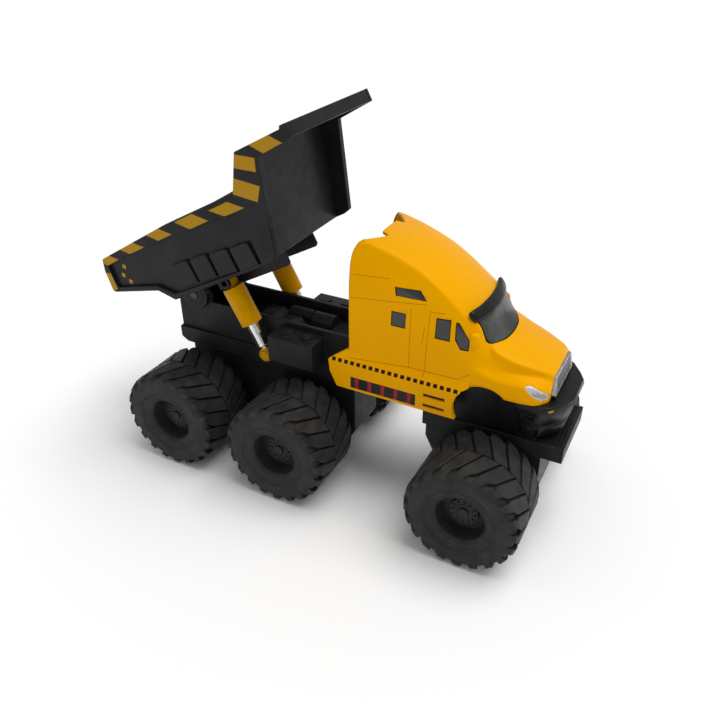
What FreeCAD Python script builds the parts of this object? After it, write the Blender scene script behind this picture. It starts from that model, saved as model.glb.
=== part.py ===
import FreeCAD, Part
import math
import os
import Sketcher

from FreeCAD import Placement, Rotation, Vector

# Toy monster-tyred dump truck: a die-cast cab on a plastic frame, six big soft
# tyres and a dump bed that tips on a cross pin, steered by two telescoping rams.
# Frame: +X forward, +Y to the truck's left, +Z up, origin on the ground under
# the middle of the truck. The rest position is the one with the bed raised.
# All lengths are in millimetres and all angles in degrees.

doc = FreeCAD.newDocument("toy_dump_truck")
sheet = doc.addObject("Spreadsheet::Sheet", "Sizes")

SIZES = [
    ("front_axle_x", 55.3, "front axle ahead of the origin"),
    ("wheelbase", 60.6, "front axle to middle axle"),
    ("tandem_spacing", 39.9, "middle axle to rear axle"),
    ("tyre_radius", 17.0, "over the lugs' tips"),
    ("tyre_width", 22.0, "between the side walls"),
    ("tyre_inner_y", 13.4, "inner side wall of each tyre from the centre plane"),
    ("lug_height", 1.3, "tread lug above the carcass"),
    ("lug_width", 4.5, "tread lug along the tread, at the crown"),
    ("lug_end_width", 2.7, "tread lug along the tread, at the shoulder"),
    ("lug_slant", 26.0, "turn of each lug from square across"),
    ("lug_count", 20, "lugs round each half of a tyre"),
    ("bead_radius", 10.6, "where the tyre meets the rim"),
    ("bead_width", 21.3, "width of the rim in the tyre"),
    ("tip_slope", 0.4, "fall of the lugs' tips from crown to shoulder"),
    ("rim_mouth", 7.2, "radius of the opening in the rim"),
    ("rim_recess", 1.1, "mouth of the rim behind its outer ring"),
    ("rim_wall", 1.2, "wall of the rim"),
    ("hub_radius", 4.3, "hub disc"),
    ("hub_depth", 4.3, "hub disc behind the rim's outer ring"),
    ("axle_radius", 1.0, "steel axle"),
    ("axle_clearance", 0.1, "axle to its carrier's bore"),
    ("rail_half", 8.85, "outer side of each frame rail from the centre plane"),
    ("rail_wall", 1.5, "rail wall"),
    ("rail_top_z", 49.2, "top of the rails"),
    ("deck_z", 43.6, "deck floor between the rails"),
    ("ledge_z", 37.7, "ledge along the rails"),
    ("ledge_out", 1.1, "ledge beyond the rail"),
    ("frame_bottom_z", 31.4, "underside of the rear frame"),
    ("frame_rear_x", -57.3, "rear end of the frame"),
    ("frame_step_x", 9.3, "front end of the rear frame's deep part"),
    ("spine_bottom_z", 36.8, "underside of the frame below the cab"),
    ("spine_top_z", 41.0, "top of the frame below the cab"),
    ("plate_rear_x", 34.1, "rear edge of the front platform"),
    ("plate_front_x", 76.2, "front edge of the front platform"),
    ("plate_half", 11.8, "half width of the front platform"),
    ("plate_top_z", 32.9, "top of the front platform"),
    ("plate_thick", 4.9, "edge of the front platform"),
    ("carrier_half", 8.0, "half width of the axle carriers"),
    ("carrier_bottom_z", 11.0, "underside of the axle carriers"),
    ("bogie_rear_x", -54.0, "rear end of the rear bogie carrier"),
    ("front_carrier_half", 11.0, "half width of the front axle carrier"),
    ("front_carrier_rear_x", 35.0, "rear end of the front axle carrier"),
    ("front_carrier_front_x", 70.2, "front end of the front axle carrier"),
    ("box_rear_x", -16.6, "rear face of the side boxes"),
    ("box_length", 15.9, "side boxes along the truck"),
    ("box_out", 16.6, "outer face of the side boxes"),
    ("box_top_z", 47.4, "top of the side boxes"),
    ("box_bottom_z", 37.4, "underside of the side boxes"),
    ("hinge_x", -48.3, "bed hinge"),
    ("hinge_z", 51.7, "bed hinge above the ground"),
    ("bed_raise", 28.5, "tilt of the bed in the rest position"),
    ("pin_radius", 1.4, "bed hinge pin"),
    ("pin_clearance", 0.1, "hinge pin to the bracket's bore"),
    ("ear_radius", 5.0, "bed ear round the hinge pin"),
    ("ear_thick", 1.9, "bed ear"),
    ("ear_gap", 0.35, "bed ear to the frame's bracket"),
    ("bed_half", 22.7, "half width over the bed's rims"),
    ("bed_wall", 1.6, "bed walls and floor"),
    ("side_recess", 1.2, "side panel inside the rim"),
    ("cheek_thick", 1.2, "cheeks that hold the ram's upper pin"),
    ("ram_y", 12.45, "rams from the centre plane"),
    ("ram_pin_u", 18.8, "ram's upper pin ahead of the bed hinge, along the bed"),
    ("ram_pin_w", 0.6, "ram's upper pin above the bed hinge, square to the bed"),
    ("ram_foot_w", 25.5, "ram's lower pin below the bed hinge, square to the bed"),
    ("barrel_radius", 3.5, "ram barrel"),
    ("barrel_lug", 3.4, "lug on top of the barrel, across"),
    ("barrel_bore", 2.55, "bore of the ram barrel"),
    ("barrel_top", 2.1, "barrel top below its pin"),
    ("barrel_length", 13.0, "ram barrel"),
    ("rod_radius", 2.35, "chromed ram rod"),
    ("rod_length", 14.5, "rod from its eye's centre to its inner end"),
    ("rod_eye_radius", 2.4, "eye at the foot of the rod"),
    ("rod_eye_thick", 3.0, "eye of the rod, across"),
    ("rod_hole_radius", 1.4, "hole in the rod's eye"),
    ("peg_radius", 0.9, "peg on the frame for the rod's eye"),
    ("ram_pin_radius", 1.0, "ram pins"),
    ("cab_wall", 1.1, "wall of the die-cast cab"),
    ("cab_rear_x", 11.0, "rear face of the cab"),
    ("cab_nose_x", 69.9, "front of the cab's nose"),
    ("base_half", 11.4, "half width of the block inside the cab's wheel arches"),
    ("sill_z", 46.4, "lower edge of the cab sides and fenders"),
    ("arch_x", 53.0, "middle of the cab's wheel arch"),
    ("arch_z", 40.6, "centre height of the cab's wheel arch"),
    ("arch_radius", 8.15, "cab wheel arch"),
    ("skirt_out", 17.1, "outer face of the side skirts"),
    ("skirt_wall", 1.6, "wall of the side skirts"),
    ("inlay_depth", 0.6, "inlay panels let in to the skirts"),
    ("skirt_bottom_z", 36.8, "lower edge of the side skirts"),
    ("skirt_rear_x", 5.3, "rear end of the side skirts"),
    ("skirt_front_x", 43.6, "front end of the side skirts"),
    ("glass_gap", 0.1, "glazing insert to the cab's inner wall"),
    ("glass_thick", 0.9, "glazing insert"),
    ("fit", 0.1, "gap between assembled plastic pieces"),
]

for row, (alias, value, note) in enumerate(SIZES, start=1):
    sheet.set("A%d" % row, alias)
    sheet.set("B%d" % row, str(value))
    sheet.set("C%d" % row, note)
    sheet.setAlias("B%d" % row, alias)
doc.recompute()

S = {alias: float(sheet.get(alias)) for alias, value, note in SIZES}

MIDDLE_AXLE_X = S["front_axle_x"] - S["wheelbase"]
REAR_AXLE_X = MIDDLE_AXLE_X - S["tandem_spacing"]
AXLE_X = {"front": S["front_axle_x"], "middle": MIDDLE_AXLE_X, "rear": REAR_AXLE_X}
AXLE_Z = S["tyre_radius"]
THROUGH = 400.0

parts = []


def bound(thing, prop, formula):
    """Tie one property to the sheet."""
    thing.setExpression(prop, formula)


def new_body(label, place=None):
    body = doc.addObject("PartDesign::Body", label)
    body.Label = label
    if place is not None:
        body.Placement = place
    return body


def finish(body):
    parts.append(body)
    return body


def plane(body, role):
    for feature in body.Origin.OriginFeatures:
        if feature.Role == role:
            return feature


def sketch_on(body, name, role, offset=0.0):
    """A sketch on one of the body's own origin planes, moved along its normal."""
    sketch = body.newObject("Sketcher::SketchObject", name)
    sketch.AttachmentSupport = [(plane(body, role), "")]
    sketch.MapMode = "FlatFace"
    sketch.AttachmentOffset = Placement(Vector(0, 0, offset), Rotation())
    return sketch


def outline(sketch, points):
    """A closed outline. A point is (x, y) for a sharp corner or (x, y, r) for a round one."""
    count = len(points)
    starts = []
    ends = []
    arcs = []
    for i, point in enumerate(points):
        here = Vector(point[0], point[1], 0)
        radius = point[2] if len(point) > 2 else 0.0
        if not radius:
            starts.append(here)
            ends.append(here)
            arcs.append(None)
            continue
        before = Vector(points[i - 1][0], points[i - 1][1], 0)
        after = Vector(points[(i + 1) % count][0], points[(i + 1) % count][1], 0)
        back = (before - here).normalize()
        ahead = (after - here).normalize()
        half = back.getAngle(ahead) / 2
        reach = radius / math.tan(half)
        inward = (back + ahead).normalize()
        middle = here + inward * (radius / math.sin(half) - radius)
        starts.append(here + back * reach)
        ends.append(here + ahead * reach)
        arcs.append(Part.Arc(starts[i], middle, ends[i]))
    for i in range(count):
        if arcs[i] is not None:
            sketch.addGeometry(arcs[i], False)
        following = starts[(i + 1) % count]
        if (ends[i] - following).Length > 1e-6:
            sketch.addGeometry(Part.LineSegment(ends[i], following), False)
    return sketch


def circle(sketch, x, y, radius, formula=None):
    index = sketch.addGeometry(Part.Circle(Vector(x, y, 0), Vector(0, 0, 1), radius), False)
    if formula:
        sketch.addConstraint(Sketcher.Constraint("Radius", index, radius))
        sketch.setExpression("Constraints[%d]" % (sketch.ConstraintCount - 1), formula)
    return index


def rectangle(sketch, left, low, right, high):
    outline(sketch, [(left, low), (right, low), (right, high), (left, high)])


def many_sided(sketch, x, y, radius, sides):
    """A regular outline that holds a circle, with flats above and below."""
    step = math.tau / sides
    reach = radius / math.cos(step / 2)
    outline(sketch, [(x + reach * math.sin((i + 0.5) * step), y + reach * math.cos((i + 0.5) * step))
                     for i in range(sides)])


def pad(body, sketch, length, midplane=False, reverse=False, formula=None):
    feature = body.newObject("PartDesign::Pad", sketch.Name + "_pad")
    feature.Profile = sketch
    feature.Length = length
    feature.Midplane = midplane
    feature.Reversed = reverse
    if formula:
        bound(feature, "Length", formula)
    body.Tip = feature
    return feature


def pocket(body, sketch, length, midplane=False, reverse=False, formula=None):
    feature = body.newObject("PartDesign::Pocket", sketch.Name + "_cut")
    feature.Profile = sketch
    feature.Length = length
    feature.Midplane = midplane
    feature.Reversed = reverse
    if formula:
        bound(feature, "Length", formula)
    body.Tip = feature
    return feature


def revolve(body, sketch):
    feature = body.newObject("PartDesign::Revolution", sketch.Name + "_turn")
    feature.Profile = sketch
    feature.ReferenceAxis = (sketch, ["V_Axis"])
    feature.Angle = 360
    body.Tip = feature
    return feature


def loft(body, sketches, cut=False):
    kind = "PartDesign::SubtractiveLoft" if cut else "PartDesign::AdditiveLoft"
    feature = body.newObject(kind, sketches[0].Name + "_loft")
    feature.Profile = sketches[0]
    feature.Sections = sketches[1:]
    feature.Ruled = True
    body.Tip = feature
    return feature


def repeated(label, source):
    """A second piece of the same shape, which follows the first."""
    body = doc.addObject("PartDesign::Body", label)
    body.Label = label
    body.BaseFeature = source
    return body


def face(corners):
    return Part.Face(Part.makePolygon(list(corners) + [corners[0]]))


def faceted(rings):
    """A solid through a row of rings, with two flat triangles to each side, alike on both halves."""
    faces = [face(rings[0]), face(rings[-1])]
    count = len(rings[0])
    for before, after in zip(rings, rings[1:]):
        for i in range(count):
            j = (i + 1) % count
            if i < count / 2 - 0.5:
                corners = [(before[i], before[j], after[j]), (before[i], after[j], after[i])]
            else:
                corners = [(before[i], before[j], after[i]), (before[j], after[j], after[i])]
            faces.extend(face(three) for three in corners)
    return Part.makeSolid(Part.makeShell(faces))


def drawn_body(label, shape):
    """A body that starts from a drawn shape, for the sketched cuts that follow."""
    drawn = doc.addObject("Part::Feature", label + "_drawn")
    drawn.Shape = shape
    return repeated(label, drawn)


# The bed's own frame: origin on the hinge, raised about it for the rest position.
BED_PLACE = Placement(Vector(S["hinge_x"], 0, S["hinge_z"]),
                      Rotation(Vector(0, -1, 0), S["bed_raise"]))


# Tyres: soft toy tyres with square shoulders and two rows of slanted lugs that
# meet in a chevron on the crown. One is drawn, and the other five repeat it.

RIM_SIDES = 24


def rounded_gon(radius, along=0.0):
    """The corners of the wheel's many-sided outline at one radius, in the XZ plane."""
    step = math.tau / RIM_SIDES
    return [Vector(radius * math.sin(i * step), along, radius * math.cos(i * step))
            for i in range(RIM_SIDES)]


def tread_ring(across, tip, root, wide, lag):
    """The outline of one row of lugs where it crosses one plane: root, tip, tip, root for each lug."""
    corners = []
    step = math.tau / S["lug_count"]
    for number in range(int(S["lug_count"])):
        first = number * step - lag
        last = first + wide / S["tyre_radius"]
        for turn, radius in ((first, root), (first, tip), (last, tip), (last, root)):
            corners.append(Vector(radius * math.sin(turn), across, radius * math.cos(turn)))
    return corners


def tread_half(way):
    """One half of the tyre: the lugs lag behind towards the shoulder, so each side face is two flat triangles."""
    half = S["tyre_width"] / 2
    carcass = S["tyre_radius"] - S["lug_height"]
    lean = half * math.tan(math.radians(S["lug_slant"])) / S["tyre_radius"]
    offset = 0.0 if way > 0 else math.pi / S["lug_count"]
    narrow = (S["lug_width"] - S["lug_end_width"]) / 2 / S["tyre_radius"]
    crown = tread_ring(0.0, S["tyre_radius"], carcass, S["lug_width"], offset)
    shoulder = tread_ring(way * half, S["tyre_radius"] - S["tip_slope"], carcass - S["tip_slope"],
                          S["lug_end_width"], offset + lean - narrow)
    faces = [face(crown), face(shoulder)]
    for i in range(len(crown)):
        after = (i + 1) % len(crown)
        faces.append(face([crown[i], crown[after], shoulder[after]]))
        faces.append(face([crown[i], shoulder[after], shoulder[i]]))
    return Part.makeSolid(Part.makeShell(faces))


def tyre(label):
    """Two tread halves joined on the crown, round the many-sided hole for the rim."""
    hole = face(rounded_gon(S["bead_radius"], -S["tyre_width"])).extrude(Vector(0, 2 * S["tyre_width"], 0))
    return drawn_body(label, tread_half(1).fuse(tread_half(-1)).cut(hole).Solids[0])


# Rims: black plastic drums with a flat outer ring, a deep bowl and a hub disc
# that is pressed on the axle. The inner side is open like a cup.

def rim_step(body, name, radius, start, length, cut=False):
    """A many-sided pad or pocket of the rim, from one place along the axle outwards."""
    sketch = sketch_on(body, name, "XZ_Plane", -start)
    outline(sketch, [(corner.x, corner.z) for corner in rounded_gon(radius)])
    if cut:
        return pocket(body, sketch, length, reverse=False)
    return pad(body, sketch, length, reverse=True)


def rim(label):
    face_y = S["bead_width"] / 2
    hub_face = face_y - S["hub_depth"]
    bowl = hub_face - 1.2
    back = bowl - S["rim_wall"]
    body = new_body(label)
    rim_step(body, label + "_drum", S["bead_radius"], -face_y, S["bead_width"])
    rim_step(body, label + "_mouth", S["rim_mouth"] + 1.2, face_y - S["rim_recess"], S["rim_recess"], cut=True)
    rim_step(body, label + "_bowl", S["rim_mouth"] - 0.4, bowl, face_y - bowl, cut=True)
    rim_step(body, label + "_cup", S["bead_radius"] - S["rim_wall"], -face_y, back + face_y, cut=True)
    rim_step(body, label + "_hub", S["hub_radius"], bowl - 0.5, hub_face - bowl + 0.5)
    bore = sketch_on(body, label + "_bore", "XZ_Plane")
    circle(bore, 0, 0, S["axle_radius"])
    pocket(body, bore, THROUGH, midplane=True)
    return body


WHEEL_Y = S["tyre_inner_y"] + S["tyre_width"] / 2
HUB_Y = WHEEL_Y + S["bead_width"] / 2 - S["hub_depth"]
SIDES = {"right": -1, "left": 1}
first_tyre = None
first_rim = None
for spot, x in AXLE_X.items():
    for name, side in SIDES.items():
        place = Placement(Vector(x, side * WHEEL_Y, AXLE_Z), Rotation())
        turned = Placement(place.Base, Rotation(Vector(0, 0, 1), 0 if side > 0 else 180))
        if first_tyre is None:
            first_tyre = tyre("tyre_%s_%s" % (spot, name))
            first_rim = rim("rim_%s_%s" % (spot, name))
            new_tyre, new_rim = first_tyre, first_rim
        else:
            new_tyre = repeated("tyre_%s_%s" % (spot, name), first_tyre)
            new_rim = repeated("rim_%s_%s" % (spot, name), first_rim)
        new_tyre.Placement = place
        new_rim.Placement = turned
        finish(new_tyre)
        finish(new_rim)


# Axles: plain steel pins from hub to hub.

for spot, x in AXLE_X.items():
    label = "axle_" + spot
    body = new_body(label, Placement(Vector(x, 0, AXLE_Z), Rotation()))
    section = sketch_on(body, label + "_section", "XZ_Plane")
    circle(section, 0, 0, S["axle_radius"], "Sizes.axle_radius")
    pad(body, section, 2 * HUB_Y + 0.8, midplane=True)
    finish(body)


# Axle carriers: black plastic blocks under the frame that hold the axles.

def carrier(label, rear, front, top, half, rear_foot, axles):
    body = new_body(label)
    bottom = S["carrier_bottom_z"]
    side = sketch_on(body, label + "_side", "XZ_Plane")
    outline(side, [
        (rear, top), (rear, rear_foot), (rear + 3.0, rear_foot - 6.0), (rear + 4.0, bottom, 1.0),
        (front - 1.5, bottom, 1.0), (front, bottom + 3.0, 1.0), (front, top)])
    pad(body, side, 2 * half, midplane=True)
    bores = sketch_on(body, label + "_bores", "XZ_Plane")
    for x in axles:
        circle(bores, x, AXLE_Z, S["axle_radius"] + S["axle_clearance"])
    pocket(body, bores, THROUGH, midplane=True)
    return finish(body)


carrier("bogie_carrier", S["bogie_rear_x"], S["frame_step_x"], S["frame_bottom_z"],
        S["carrier_half"], S["frame_bottom_z"] - 6.0, [MIDDLE_AXLE_X, REAR_AXLE_X])
PLATE_BOTTOM = S["plate_top_z"] - S["plate_thick"]
carrier("front_carrier", S["front_carrier_rear_x"], S["front_carrier_front_x"],
        PLATE_BOTTOM, S["front_carrier_half"], PLATE_BOTTOM - 4.5, [S["front_axle_x"]])


# Frame: an open-topped trough of two rails at the back, a narrow spine below the
# cab and a wide tread-plate platform at the front, with a box on each side.

body = new_body("chassis_frame")
half = S["rail_half"]
rear = S["frame_rear_x"]
step = S["frame_step_x"]
bracket_front = S["hinge_x"] + 5.0
crown = S["hinge_z"]
rail_front = S["cab_rear_x"] - S["fit"]
side = sketch_on(body, "frame_side", "XZ_Plane")
outline(side, [
    (rear + 0.8, S["frame_bottom_z"]), (rear + 0.8, S["rail_top_z"], 1.0),
    (rail_front, S["rail_top_z"]), (rail_front, S["spine_top_z"]),
    (S["plate_rear_x"] + 3, S["spine_top_z"]), (S["plate_rear_x"] + 9, S["plate_top_z"]),
    (S["plate_rear_x"] + 9, PLATE_BOTTOM), (S["plate_rear_x"], S["spine_bottom_z"] - 4),
    (S["plate_rear_x"], S["spine_bottom_z"]), (step, S["spine_bottom_z"]),
    (step, S["frame_bottom_z"])])
pad(body, side, 2 * half, midplane=True)
ledge = sketch_on(body, "frame_ledge", "XZ_Plane")
outline(ledge, [
    (rear, S["ledge_z"] - 4.2), (rear, S["ledge_z"], 0.6), (step - 0.5, S["ledge_z"]),
    (step - 0.5, S["frame_bottom_z"] + 0.5), (rear + 2.5, S["frame_bottom_z"] + 0.5)])
pad(body, ledge, 2 * (half + S["ledge_out"]), midplane=True)
bracket = sketch_on(body, "frame_bracket", "XZ_Plane")
outline(bracket, [
    (rear + 0.4, S["ledge_z"] - 1), (rear + 0.4, crown + 0.5, 2.0), (S["hinge_x"] - 2.6, crown + 3.4, 1.5),
    (S["hinge_x"] + 2.6, crown + 3.4, 1.5), (bracket_front, crown - 1.0, 1.0), (bracket_front, S["ledge_z"] - 1)])
pad(body, bracket, 2 * half, midplane=True)
platform = sketch_on(body, "frame_platform", "XY_Plane", PLATE_BOTTOM)
outline(platform, [
    (S["plate_rear_x"], -S["plate_half"]), (S["plate_front_x"], -S["plate_half"]),
    (S["plate_front_x"], S["plate_half"]), (S["plate_rear_x"], S["plate_half"])])
pad(body, platform, S["plate_thick"], formula="Sizes.plate_thick")
tread = sketch_on(body, "frame_tread", "XY_Plane", S["plate_top_z"] - 0.5)
outline(tread, [
    (S["plate_rear_x"] + 14, -S["plate_half"] + 1.0), (S["plate_front_x"] - 1.4, -S["plate_half"] + 1.0),
    (S["plate_front_x"] - 1.4, S["plate_half"] - 1.0), (S["plate_rear_x"] + 14, S["plate_half"] - 1.0)])
pocket(body, tread, 5, reverse=True)
trough = sketch_on(body, "frame_trough", "XZ_Plane")
inside = half - S["rail_wall"]
outline(trough, [
    (rear + 2.4, S["deck_z"], 1.5), (rear + 2.4, crown + 9), (step + 20, crown + 9),
    (step + 20, S["deck_z"])])
pocket(body, trough, 2 * inside, midplane=True)
for name, sign in SIDES.items():
    box = sketch_on(body, "frame_box_" + name, "YZ_Plane", S["box_rear_x"])
    low = S["box_bottom_z"]
    outline(box, [
        (sign * (half - 0.5), low + 0.6), (sign * (S["box_out"] - 2.2), low),
        (sign * S["box_out"], low + 1.2), (sign * S["box_out"], S["box_top_z"]),
        (sign * (half - 0.5), S["box_top_z"])])
    pad(body, box, S["box_length"], formula="Sizes.box_length")
HEAD_SIDES = 12
# Two round bolt heads stand on each box, and a headed peg below it holds the ram's eye.
for name, sign in SIDES.items():
    heads = sketch_on(body, "frame_heads_" + name, "XY_Plane", S["box_top_z"])
    many_sided(heads, S["box_rear_x"] + 4.6, sign * 12.4, 2.0, HEAD_SIDES)
    many_sided(heads, S["box_rear_x"] + 11.9, sign * 12.6, 1.6, HEAD_SIDES)
    pad(body, heads, 0.9)
FOOT = Vector(S["ram_pin_u"], 0, -S["ram_foot_w"])
FOOT = BED_PLACE.multVec(FOOT)
eye_in = S["ram_y"] - S["rod_eye_thick"] / 2
eye_out = S["ram_y"] + S["rod_eye_thick"] / 2
for name, sign in SIDES.items():
    peg = sketch_on(body, "frame_peg_" + name, "XZ_Plane", -sign * (half - 0.5))
    circle(peg, FOOT.x, FOOT.z, S["peg_radius"], "Sizes.peg_radius")
    pad(body, peg, eye_out + S["fit"] + 0.1 - half + 0.5, reverse=sign > 0)
    head = sketch_on(body, "frame_peg_head_" + name, "XZ_Plane", -sign * (eye_out + S["fit"]))
    many_sided(head, FOOT.x, FOOT.z, S["rod_hole_radius"] + 0.4, HEAD_SIDES)
    pad(body, head, 0.7, reverse=sign > 0)
hole = sketch_on(body, "frame_hinge_bore", "XZ_Plane")
circle(hole, S["hinge_x"], S["hinge_z"], S["pin_radius"] + S["pin_clearance"])
pocket(body, hole, THROUGH, midplane=True)
finish(body)

# Deck gear: the moulded gearbox, tank and pipes that show between the rails.

body = new_body("deck_gear")
deck = S["deck_z"]
floor = sketch_on(body, "deck_floor", "XY_Plane", deck)
outline(floor, [
    (-30, -inside + 0.3), (step + 1.5, -inside + 0.3), (step + 1.5, inside - 0.3), (-30, inside - 0.3)])
pad(body, floor, 0.8)
gearbox = sketch_on(body, "deck_gearbox", "XZ_Plane")
outline(gearbox, [
    (-29, deck + 0.5), (-28, deck + 2.6), (-27, deck + 3.1), (-23, deck + 3.2), (-21, deck + 1.6),
    (-19, deck + 2.4), (-15, deck + 2.2), (-13, deck + 0.5)])
pad(body, gearbox, 7.0, midplane=True)
tank = sketch_on(body, "deck_tank", "YZ_Plane", -20)
many_sided(tank, 3.6, deck + 1.8, 2.4, HEAD_SIDES)
pad(body, tank, 8.5)
dome = sketch_on(body, "deck_dome", "YZ_Plane", -10.5)
many_sided(dome, 2.4, deck + 1.6, 3.1, HEAD_SIDES)
pad(body, dome, 7.5)
pipe = sketch_on(body, "deck_pipe", "YZ_Plane", -20)
many_sided(pipe, -4.4, deck + 1.4, 1.3, HEAD_SIDES)
pad(body, pipe, 26)
below = sketch_on(body, "deck_below", "XZ_Plane")
outline(below, [(-32, deck - 9), (step + 3, deck - 9), (step + 3, deck), (-32, deck)])
pocket(body, below, THROUGH, midplane=True)
finish(body)


# Cab: one hollow die-cast shell. Its skin runs through a row of hoop-shaped
# sections, each a half outline from the sill up to the middle of the roof.

SILL = S["sill_z"]
REAR = S["cab_rear_x"]
NOSE = S["cab_nose_x"]
# At each x: the half width at the sill, then half width and height of the belt, the
# shelf, the hollow above it and the crease along the roof or hood edge, and the
# height of the middle of the roof or hood.
CAB_STATIONS = [
    (REAR, 15.2, (15.2, 53.0), (15.2, 60.0), (14.9, 70.0), (14.2, 75.6), 76.3),
    (REAR + 1.0, 15.3, (15.3, 53.0), (15.2, 60.0), (14.8, 72.0), (13.5, 80.4), 81.2),
    (REAR + 3.0, 15.3, (15.3, 53.0), (15.2, 60.0), (14.6, 73.5), (12.8, 82.9), 83.8),
    (REAR + 8.7, 15.3, (15.3, 53.0), (15.2, 60.0), (14.6, 73.0), (12.4, 81.8), 83.1),
    (REAR + 14.7, 15.3, (15.3, 53.0), (15.2, 60.0), (14.6, 71.8), (12.3, 79.8), 81.5),
    (REAR + 20.7, 15.3, (15.3, 53.0), (15.2, 60.0), (14.5, 70.0), (12.3, 77.2), 79.1),
    (REAR + 26.7, 15.3, (15.3, 53.0), (15.2, 60.0), (14.4, 68.0), (12.5, 73.4), 75.5),
    (REAR + 31.2, 15.3, (15.3, 53.0), (15.2, 59.0), (14.3, 65.5), (12.7, 69.9), 72.2),
    (REAR + 34.7, 15.3, (15.3, 53.0), (15.2, 57.0), (14.2, 63.0), (12.9, 67.2), 69.7),
    (REAR + 38.0, 15.3, (15.3, 53.0), (14.8, 55.0), (13.7, 61.0), (12.6, 65.2), 67.6),
    (REAR + 41.2, 15.3, (15.3, 52.6), (14.0, 54.0), (12.8, 57.5), (11.9, 60.4), 62.4),
    (REAR + 43.5, 15.2, (15.2, 51.9), (13.7, 53.3), (12.3, 55.4), (12.3, 58.6), 60.5),
    (REAR + 47.0, 15.1, (15.1, 51.3), (13.4, 52.7), (11.6, 53.9), (12.0, 57.1), 58.8),
    (REAR + 51.0, 15.0, (15.0, 51.4), (13.1, 52.8), (10.9, 53.3), (11.2, 55.9), 57.4),
    (REAR + 55.0, 14.5, (14.4, 51.4), (12.0, 52.6), (9.8, 52.9), (9.8, 54.8), 55.9),
    (REAR + 57.6, 13.2, (12.9, 50.4), (10.9, 51.7), (9.0, 52.2), (8.7, 53.9), 54.8),
    (NOSE, 11.0, (10.6, 49.4), (9.6, 50.8), (8.3, 51.5), (7.8, 53.0), 53.8),
]


def inset(points, distance):
    """Move each side of a closed anticlockwise outline inwards, with mitred corners."""
    moved = []
    for i, (x, y) in enumerate(points):
        bx, by = points[i - 1]
        ax, ay = points[(i + 1) % len(points)]
        before = Vector(by - y, x - bx, 0).normalize()
        after = Vector(y - ay, ax - x, 0).normalize()
        reach = (before + after) * (distance / (1 + before.dot(after)))
        moved.append((x + reach.x, y + reach.y))
    return moved


def cab_hoop(station, depth=0.0):
    """The whole outline at one station, moved in and down by a depth, open side down."""
    x, sill_y, belt, shelf, hollow, crease, crown_z = station
    side = [(sill_y, SILL), belt, shelf, hollow, crease,
            (crease[0] * 0.55, crease[1] + (crown_z - crease[1]) * 0.75)]
    whole = side + [(0.0, crown_z)] + [(-y, z) for y, z in reversed(side)]
    if depth:
        whole = inset(whole, depth)
        whole[0] = (whole[0][0], SILL - depth)
        whole[-1] = (whole[-1][0], SILL - depth)
    return [Vector(x, y, z) for y, z in whole]


def cab_inside(depth, stations=CAB_STATIONS):
    """The space at one depth below the cab's skin, inside its rear wall, rounded rear edge and nose."""
    hull = faceted([cab_hoop(station, depth) for station in stations])
    low = SILL - 3 * depth
    high = CAB_STATIONS[2][-1]
    rear_line = [(station[0], station[-1]) for station in reversed(CAB_STATIONS[:3])]
    limit = inset([(REAR, low), (NOSE, low), (NOSE, high + 3), (CAB_STATIONS[2][0] + 2, high + 3)] + rear_line, depth)
    slab = face([Vector(x, -S["skirt_out"], z) for x, z in limit])
    return hull.common(slab.extrude(Vector(0, 2 * S["skirt_out"], 0)))


WINDOWS = {
    "high": [(25.2, 72.6), (32.5, 72.7), (34.7, 70.1), (25.7, 70.1)],
    "sleeper": [(24.6, 65.4), (29.0, 65.4), (28.9, 60.8), (24.6, 60.8)],
    "door": [(37.8, 66.2), (41.9, 66.3), (42.2, 60.1), (37.8, 60.1)],
    "vent": [(43.6, 66.3), (44.6, 66.3), (47.8, 61.9), (47.7, 59.0), (45.2, 58.8), (43.9, 60.4)],
}
LAMP = [(63.6, 51.8), (67.6, 51.4), (69.6, 49.9), (70.1, 48.4), (69.0, 47.7), (65.3, 49.4)]
SCREEN = [(-11.3, 60.3), (0.0, 61.6), (11.3, 60.3), (12.0, 66.4), (-12.0, 66.4)]
MIRROR = [(46.9, 61.6), (48.4, 60.0), (50.0, 60.0), (49.6, 61.8), (48.0, 63.6)]
# The roof is open at the back: its rear edge, in plan, from the middle tab outwards.
ROOF_EDGE = [(5.6, 4.4), (8.0, 5.2), (6.2, 8.4), (2.9, 11.6)]
ROOF_OPEN_Z = 71.0
PANEL_REAR_X = 12.7
PANEL_FRONT_X = 33.7
PANEL_LOW_Z = 37.6
PANEL_HIGH_Z = 41.4
LOUVRE_REAR_X = 36.0
LOUVRE_FRONT_X = 42.6
LOUVRES = [(38.4, 39.2), (41.7, 42.6)]

wall = S["cab_wall"]
cab_skin = faceted([cab_hoop(station) for station in CAB_STATIONS])
body = drawn_body("cab_shell", cab_skin.cut(cab_inside(wall)).removeSplitter())
roof_cut = sketch_on(body, "cab_roof_edge", "XY_Plane", ROOF_OPEN_Z)
edge = [(REAR + x, y) for x, y in ROOF_EDGE]
outline(roof_cut, [(REAR - 1.0, -ROOF_EDGE[-1][1])] + [(x, -y) for x, y in reversed(edge)]
        + edge + [(REAR - 1.0, ROOF_EDGE[-1][1])])
pocket(body, roof_cut, 20.0, reverse=True)
for name, sign in SIDES.items():
    mirror = sketch_on(body, "cab_mirror_" + name, "XZ_Plane", -sign * 13.0)
    outline(mirror, MIRROR)
    pad(body, mirror, 1.5, reverse=sign > 0)
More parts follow.
